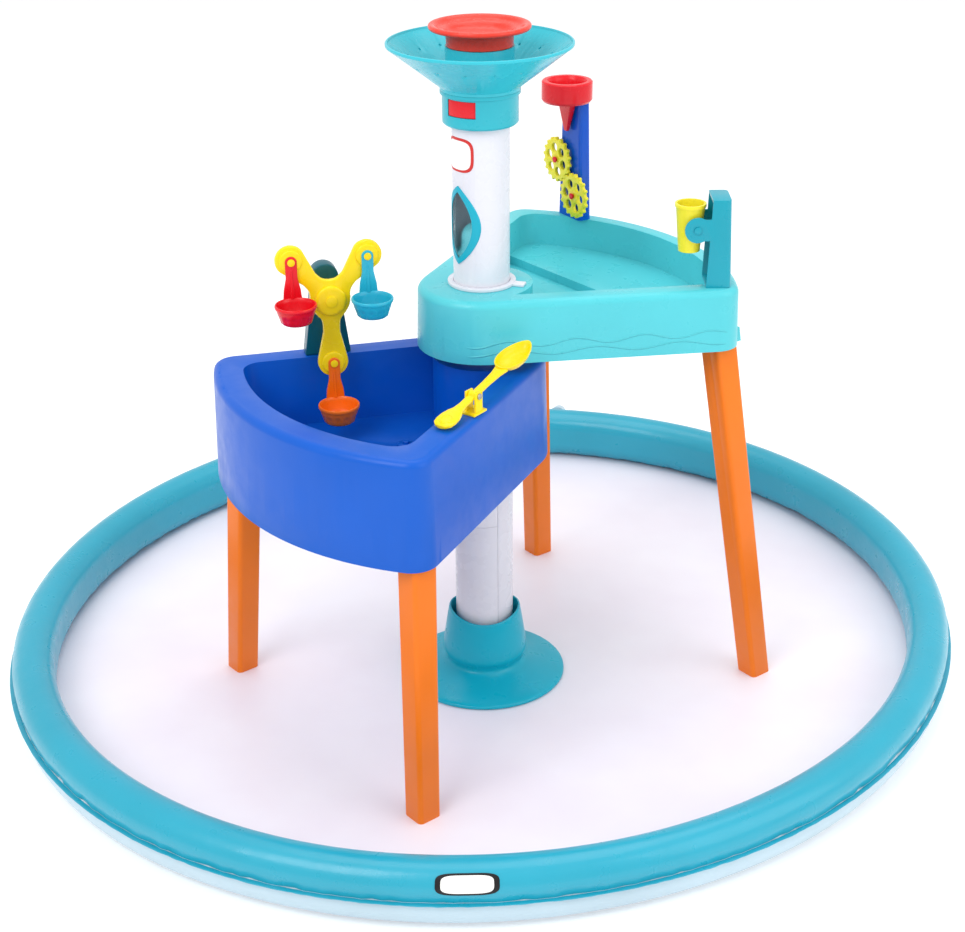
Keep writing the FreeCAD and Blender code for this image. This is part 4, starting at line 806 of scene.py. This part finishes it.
def spinner():
    matrix = spinner_matrix()
    ends = lobe_ends()
    low, high = 0.011, 0.022
    count = 260
    outline = spread_outline(arm_outline(list(ends.values()), 0.0, 720), count)
    rings = []
    for inset, y in ((-0.0030, high), (-0.0008, high - 0.0006), (0.0, high - 0.0028),
                     (0.0, low + 0.0032), (-0.0009, low + 0.0010), (-0.0034, low)):
        ring = []
        for i, (x, z) in enumerate(outline):
            before, after = outline[i - 1], outline[(i + 1) % count]
            run = Vector((after[0] - before[0], after[1] - before[1])).normalized()
            ring.append(Vector((x - run.y * inset * -1, y, z + run.x * inset * -1)))
        rings.append(ring)
    plate = skinned("spinner_plate", rings)
    parts = [plate]
    for end, radius, rise in ([(Vector(), 0.0235, 0.0062)]
                              + [(end, 0.0175, 0.0030) for end in ends.values()]):
        dome = smooth_profile([(radius, 0.0), (radius - 0.0006, rise * 0.5),
                               (radius * 0.85, rise * 0.86), (radius * 0.5, rise * 0.98),
                               (radius * 0.02, rise)], 3)
        boss = lathed("boss", [(radius, -0.003)] + dome, count=48)
        boss.data.transform(Matrix.Rotation(math.radians(90), 4, "X"))
        boss.data.transform(Matrix.Translation((end.x, low + 0.0002, end.z)))
        parts.append(boss)
    flat = Matrix.Identity(4)
    for part in parts[:2]:
        cut_out(part, cylinder_along(0.00515, 0.09, flat, (0, low, 0)))
    star = joined("spinner_yellow_star", *parts)
    placed(star, matrix)
    finished(star, YELLOW, "spinner", "spinner_yellow", "spinner_star", angle=40)
    refined("scoop_pins", YELLOW, "spinner", "spinner_yellow", 0.4 * MM)
    refined("spinner_axle", YELLOW, "stand", "spinner_yellow", 0.8 * MM)
    refined("spinner_bracket", DARK_TEAL, "stand", "dark_teal", 2.5 * MM, 3, 25)
    for colour, finish, slot in (("red", SCOOP_RED, "axle_red"), ("aqua", SCOOP_AQUA, "light_teal"),
                                 ("orange", SCOOP_ORANGE, "leg_orange")):
        hanging_scoop(colour, finish, slot, matrix, ends[colour])


def cylinder_along(radius, length, matrix, middle, count=48):
    """A cutter that lies along the local Y of a frame."""
    deselect()
    bpy.ops.mesh.primitive_cylinder_add(vertices=count, radius=radius, depth=length)
    piece = named("cutter")
    piece.data.transform(Matrix.Rotation(math.radians(90), 4, "X"))
    piece.data.transform(Matrix.Translation(middle))
    piece.data.transform(matrix)
    return piece


def hanging_scoop(colour, finish, slot, matrix, end):
    """Cup with a rolled rim and a scalloped lower band, on a tapered handle."""
    drop, radius, depth, wall = 0.054, 0.031, 0.029, 0.0022
    middle_y = -0.004 - radius + 0.003

    def scallop(turn):
        return 0.035 * abs(math.cos(6 * turn)) - 0.02

    cup_profile = [(0.0010, -drop - depth), (0.0160, -drop - depth),
                   (0.0205, -drop - depth + 0.0008), (0.0228, -drop - depth + 0.0030, scallop),
                   (0.0245, -drop - depth + 0.0090, scallop),
                   (0.0262, -drop - depth + 0.0140, scallop), (0.0272, -drop - depth + 0.0155),
                   (0.0285, -drop - 0.0080), (0.0288, -drop - 0.0060), (0.0304, -drop - 0.0052),
                   (0.0310, -drop - 0.0035), (0.0310, -drop - 0.0012), (0.0302, -drop),
                   (0.0288, -drop), (0.0278, -drop - 0.0010), (0.0268, -drop - 0.0060),
                   (0.0245, -drop - depth + 0.0120), (0.0200, -drop - depth + wall + 0.001),
                   (0.0180, -drop - depth + wall), (0.0010, -drop - depth + wall)]
    cup = lathed("cup", cup_profile, (0, middle_y), 96)
    handle_points = []
    top, foot = 0.0088, 0.0140
    for i in range(17):
        angle = math.radians(-10 + 200 * i / 16)
        handle_points.append((top * math.cos(angle), top * math.sin(angle)))
    handle_points += [(-foot * 0.62, -drop * 0.45), (-foot * 0.9, -drop * 0.78),
                      (-foot, -drop - 0.003), (foot, -drop - 0.003),
                      (foot * 0.9, -drop * 0.78), (foot * 0.62, -drop * 0.45)]
    rings = [[Vector((x, y, z)) for x, z in handle_points] for y in (-0.0002, -0.004)]
    handle = skinned("handle", rings)
    bevelled(handle, 0.0011, 3, 50)
    cut_out(handle, cylinder_along(0.0031, 0.030, Matrix.Identity(4), (0, 0, 0), 32))
    rib_rings = []
    for z, half in ((-0.012, 0.0012), (-drop - 0.001, 0.0030)):
        rib_rings.append([Vector((-half, -0.004, z)), Vector((half, -0.004, z)),
                          Vector((half * 0.6, -0.0052, z)), Vector((-half * 0.6, -0.0052, z))])
    rib = skinned("rib", rib_rings)
    scoop = joined("hanging_scoop_" + colour, cup, handle, rib)
    shift = matrix @ Matrix.Translation((end.x, end.y, end.z))
    placed(scoop, shift)
    finished(scoop, finish, colour + "_scoop", slot, "scoop_" + colour, angle=38)


# ---------------------------------------------------------------- launcher

def launcher():
    """Rocking spoon: leaf-shaped scoop, waisted arm and a round thumb plate."""
    hinge = joints["spoon_rock"]
    axis = Vector(hinge["axis"])
    pivot = Vector(hinge["pos_m"])
    ahead = axis.cross(Vector((0, 0, 1))).normalized()
    tilt = math.radians(14)
    along = (ahead * math.cos(tilt) + Vector((0, 0, 1)) * math.sin(tilt)).normalized()
    matrix = Matrix((along, axis, along.cross(axis))).transposed().to_4x4()
    matrix.translation = pivot
    half_thick = 0.0025
    sections = ((-0.0820, 0.004), (-0.0805, 0.0095), (-0.0750, 0.0145), (-0.0660, 0.0160),
                (-0.0550, 0.0152), (-0.0450, 0.0118), (-0.0380, 0.0078), (-0.0270, 0.0059),
                (0.0, 0.0060), (0.0300, 0.0060), (0.0550, 0.0074), (0.0700, 0.0105))
    rings = []
    for x, half in sections:
        round_off = min(half * 0.6, 0.0018)
        ring = []
        for y, z in ((half, 0), (half, half_thick - 0.0008), (half - round_off, half_thick),
                     (-half + round_off, half_thick), (-half, half_thick - 0.0008),
                     (-half, -half_thick + 0.0008), (-half + round_off, -half_thick),
                     (half - round_off, -half_thick), (half, -half_thick + 0.0008)):
            ring.append(Vector((x, y, z)))
        rings.append(ring)
    lever = skinned("lever", rings)
    boss = cylinder_along(0.0065, 0.012, Matrix.Identity(4), (0, 0, 0))
    bevelled(boss, 0.0008)
    for part in (lever, boss):
        cut_out(part, cylinder_along(0.00256, 0.030, Matrix.Identity(4), (0, 0, 0), 40))
    bowl = spoon_bowl()
    grip = lathed("grip", [(0.0105, 0.0018), (0.0100, 0.0030), (0.0090, 0.0034),
                           (0.0082, 0.0030), (0.0078, 0.0018)], (-0.066, 0), 40, (False, False))
    spoon = joined("rocking_spoon", lever, boss, bowl, grip)
    placed(spoon, matrix)
    finished(spoon, YELLOW, "spoon", "spinner_yellow", "launcher_spoon", angle=45)
    refined("launcher_saddle", YELLOW, "stand", "spinner_yellow", 0.8 * MM)
    refined("launcher_pin", STEEL, "stand", "screw_steel", 0.4 * MM)


def spoon_bowl():
    """A leaf-shaped cup with a thin wall, pointed a little at its far end."""
    centre, long_half, wide_half, deep = 0.103, 0.036, 0.022, 0.0155
    rings = []
    top = 0.0045
    for share, z in ((0.05, top - deep), (0.45, top - deep + 0.0006), (0.66, top - deep + 0.0030),
                     (0.84, top - deep * 0.55), (0.95, top - 0.0035), (1.0, top - 0.0012),
                     (0.99, top), (0.93, top), (0.90, top - 0.0010), (0.86, top - 0.0040),
                     (0.74, top - deep * 0.55), (0.56, top - deep + 0.0048),
                     (0.40, top - deep + 0.0028), (0.04, top - deep + 0.0024)):
        ring = []
        for i in range(64):
            angle = 2 * math.pi * i / 64
            x = math.cos(angle)
            point = 1 + 0.10 * max(0.0, x) ** 6
            y = math.sin(angle) * (1 - 0.12 * x)
            ring.append(Vector((centre + long_half * share * x * point - 0.001,
                                wide_half * share * y, z)))
        rings.append(ring)
    return skinned("spoon_bowl", rings)


# ---------------------------------------------------------------- tower and bucket

def tower_and_bucket():
    refined("tower_shell", TOWER_BLUE, "stand", "tower_blue", 1.0 * MM, 3)
    refined("tower_cup", SCOOP_RED, "stand", "axle_red", 1.0 * MM, 3)
    refined("wheel_axles", SCOOP_RED, "stand", "axle_red", 0.6 * MM)
    refined("wheel_upper", WHEEL_YELLOW, "upper_wheel", "wheel_yellow", 0.6 * MM)
    refined("wheel_lower", WHEEL_YELLOW, "lower_wheel", "wheel_yellow", 0.6 * MM)
    refined("bucket_post", POST_TEAL, "stand", "dark_teal", 1.2 * MM, 3)
    refined("bucket_pin", POST_TEAL, "stand", "dark_teal", 0.5 * MM)
    refined("bucket", WHEEL_YELLOW, "bucket", "wheel_yellow", 0.7 * MM, 3)
    # The hose inlet takes the same darkened white vinyl, painted shade.
    out_of_round(refined("pad_hose_inlet", PAD_WHITE_PAINTED_SHADE, "stand", "inlet_white", 0.8 * MM))


# ---------------------------------------------------------------- floor, lights and camera

def studio():
    deselect()
    bpy.ops.mesh.primitive_plane_add(size=40, location=(0, 0, -0.0004))
    floor = named("studio_floor")
    finish = Finish("studio_paper")
    share = finish.ramp(finish.noise(0.6, 2.0), 0.3, 0.7)
    finish.feed("Base Color", finish.blend(share, (0.86, 0.86, 0.865, 1), (0.88, 0.88, 0.885, 1)))
    finish.feed("Roughness", 0.9)
    finish.feed("Emission Color", (1.0, 1.0, 1.0, 1.0))
    finish.feed("Emission Strength", 0.22)
    floor.data.materials.append(finish.material)

    world = bpy.data.worlds.new("studio_light")
    bpy.context.scene.world = world
    world.use_nodes = True
    back = world.node_tree.nodes["Background"]
    back.inputs["Color"].default_value = (1.0, 1.0, 1.0, 1)
    back.inputs["Strength"].default_value = 0.85

    for name, place, size, power in (("key", (-1.9, -2.6, 3.4), 2.2, 62),
                                     ("fill", (2.8, -1.6, 2.2), 2.6, 30),
                                     ("top", (0.2, 0.6, 3.8), 3.0, 46)):
        light = bpy.data.lights.new(name, "AREA")
        light.size = size
        light.energy = power
        lamp = bpy.data.objects.new(name, light)
        bpy.context.scene.collection.objects.link(lamp)
        lamp.location = place
        aim = Vector((0, -0.1, 0.45)) - Vector(place)
        lamp.rotation_euler = aim.to_track_quat("-Z", "Y").to_euler()


def camera():
    data = bpy.data.cameras.new("camera")
    data.sensor_width = 36.0
    data.lens = 65.76
    data.clip_start = 0.05
    data.clip_end = 100
    eye = bpy.data.objects.new("camera", data)
    bpy.context.scene.collection.objects.link(eye)
    pitch, roll = math.radians(25.305), math.radians(-0.5)
    turn = Euler((math.pi / 2 - pitch, 0, 0)).to_matrix() @ Matrix.Rotation(roll, 3, "Z")
    eye.matrix_world = Matrix.Translation((-0.0034, -2.6138, 1.5526)) @ turn.to_4x4()
    bpy.context.scene.camera = eye
    bpy.context.scene.view_settings.view_transform = "Standard"


pad_ring()
weld_strip()
pad_floor()
pad_patch()
base()
column_pieces()
column_badge()
column_head()
trays_and_legs()
spinner()
launcher()
tower_and_bucket()
studio()
camera()
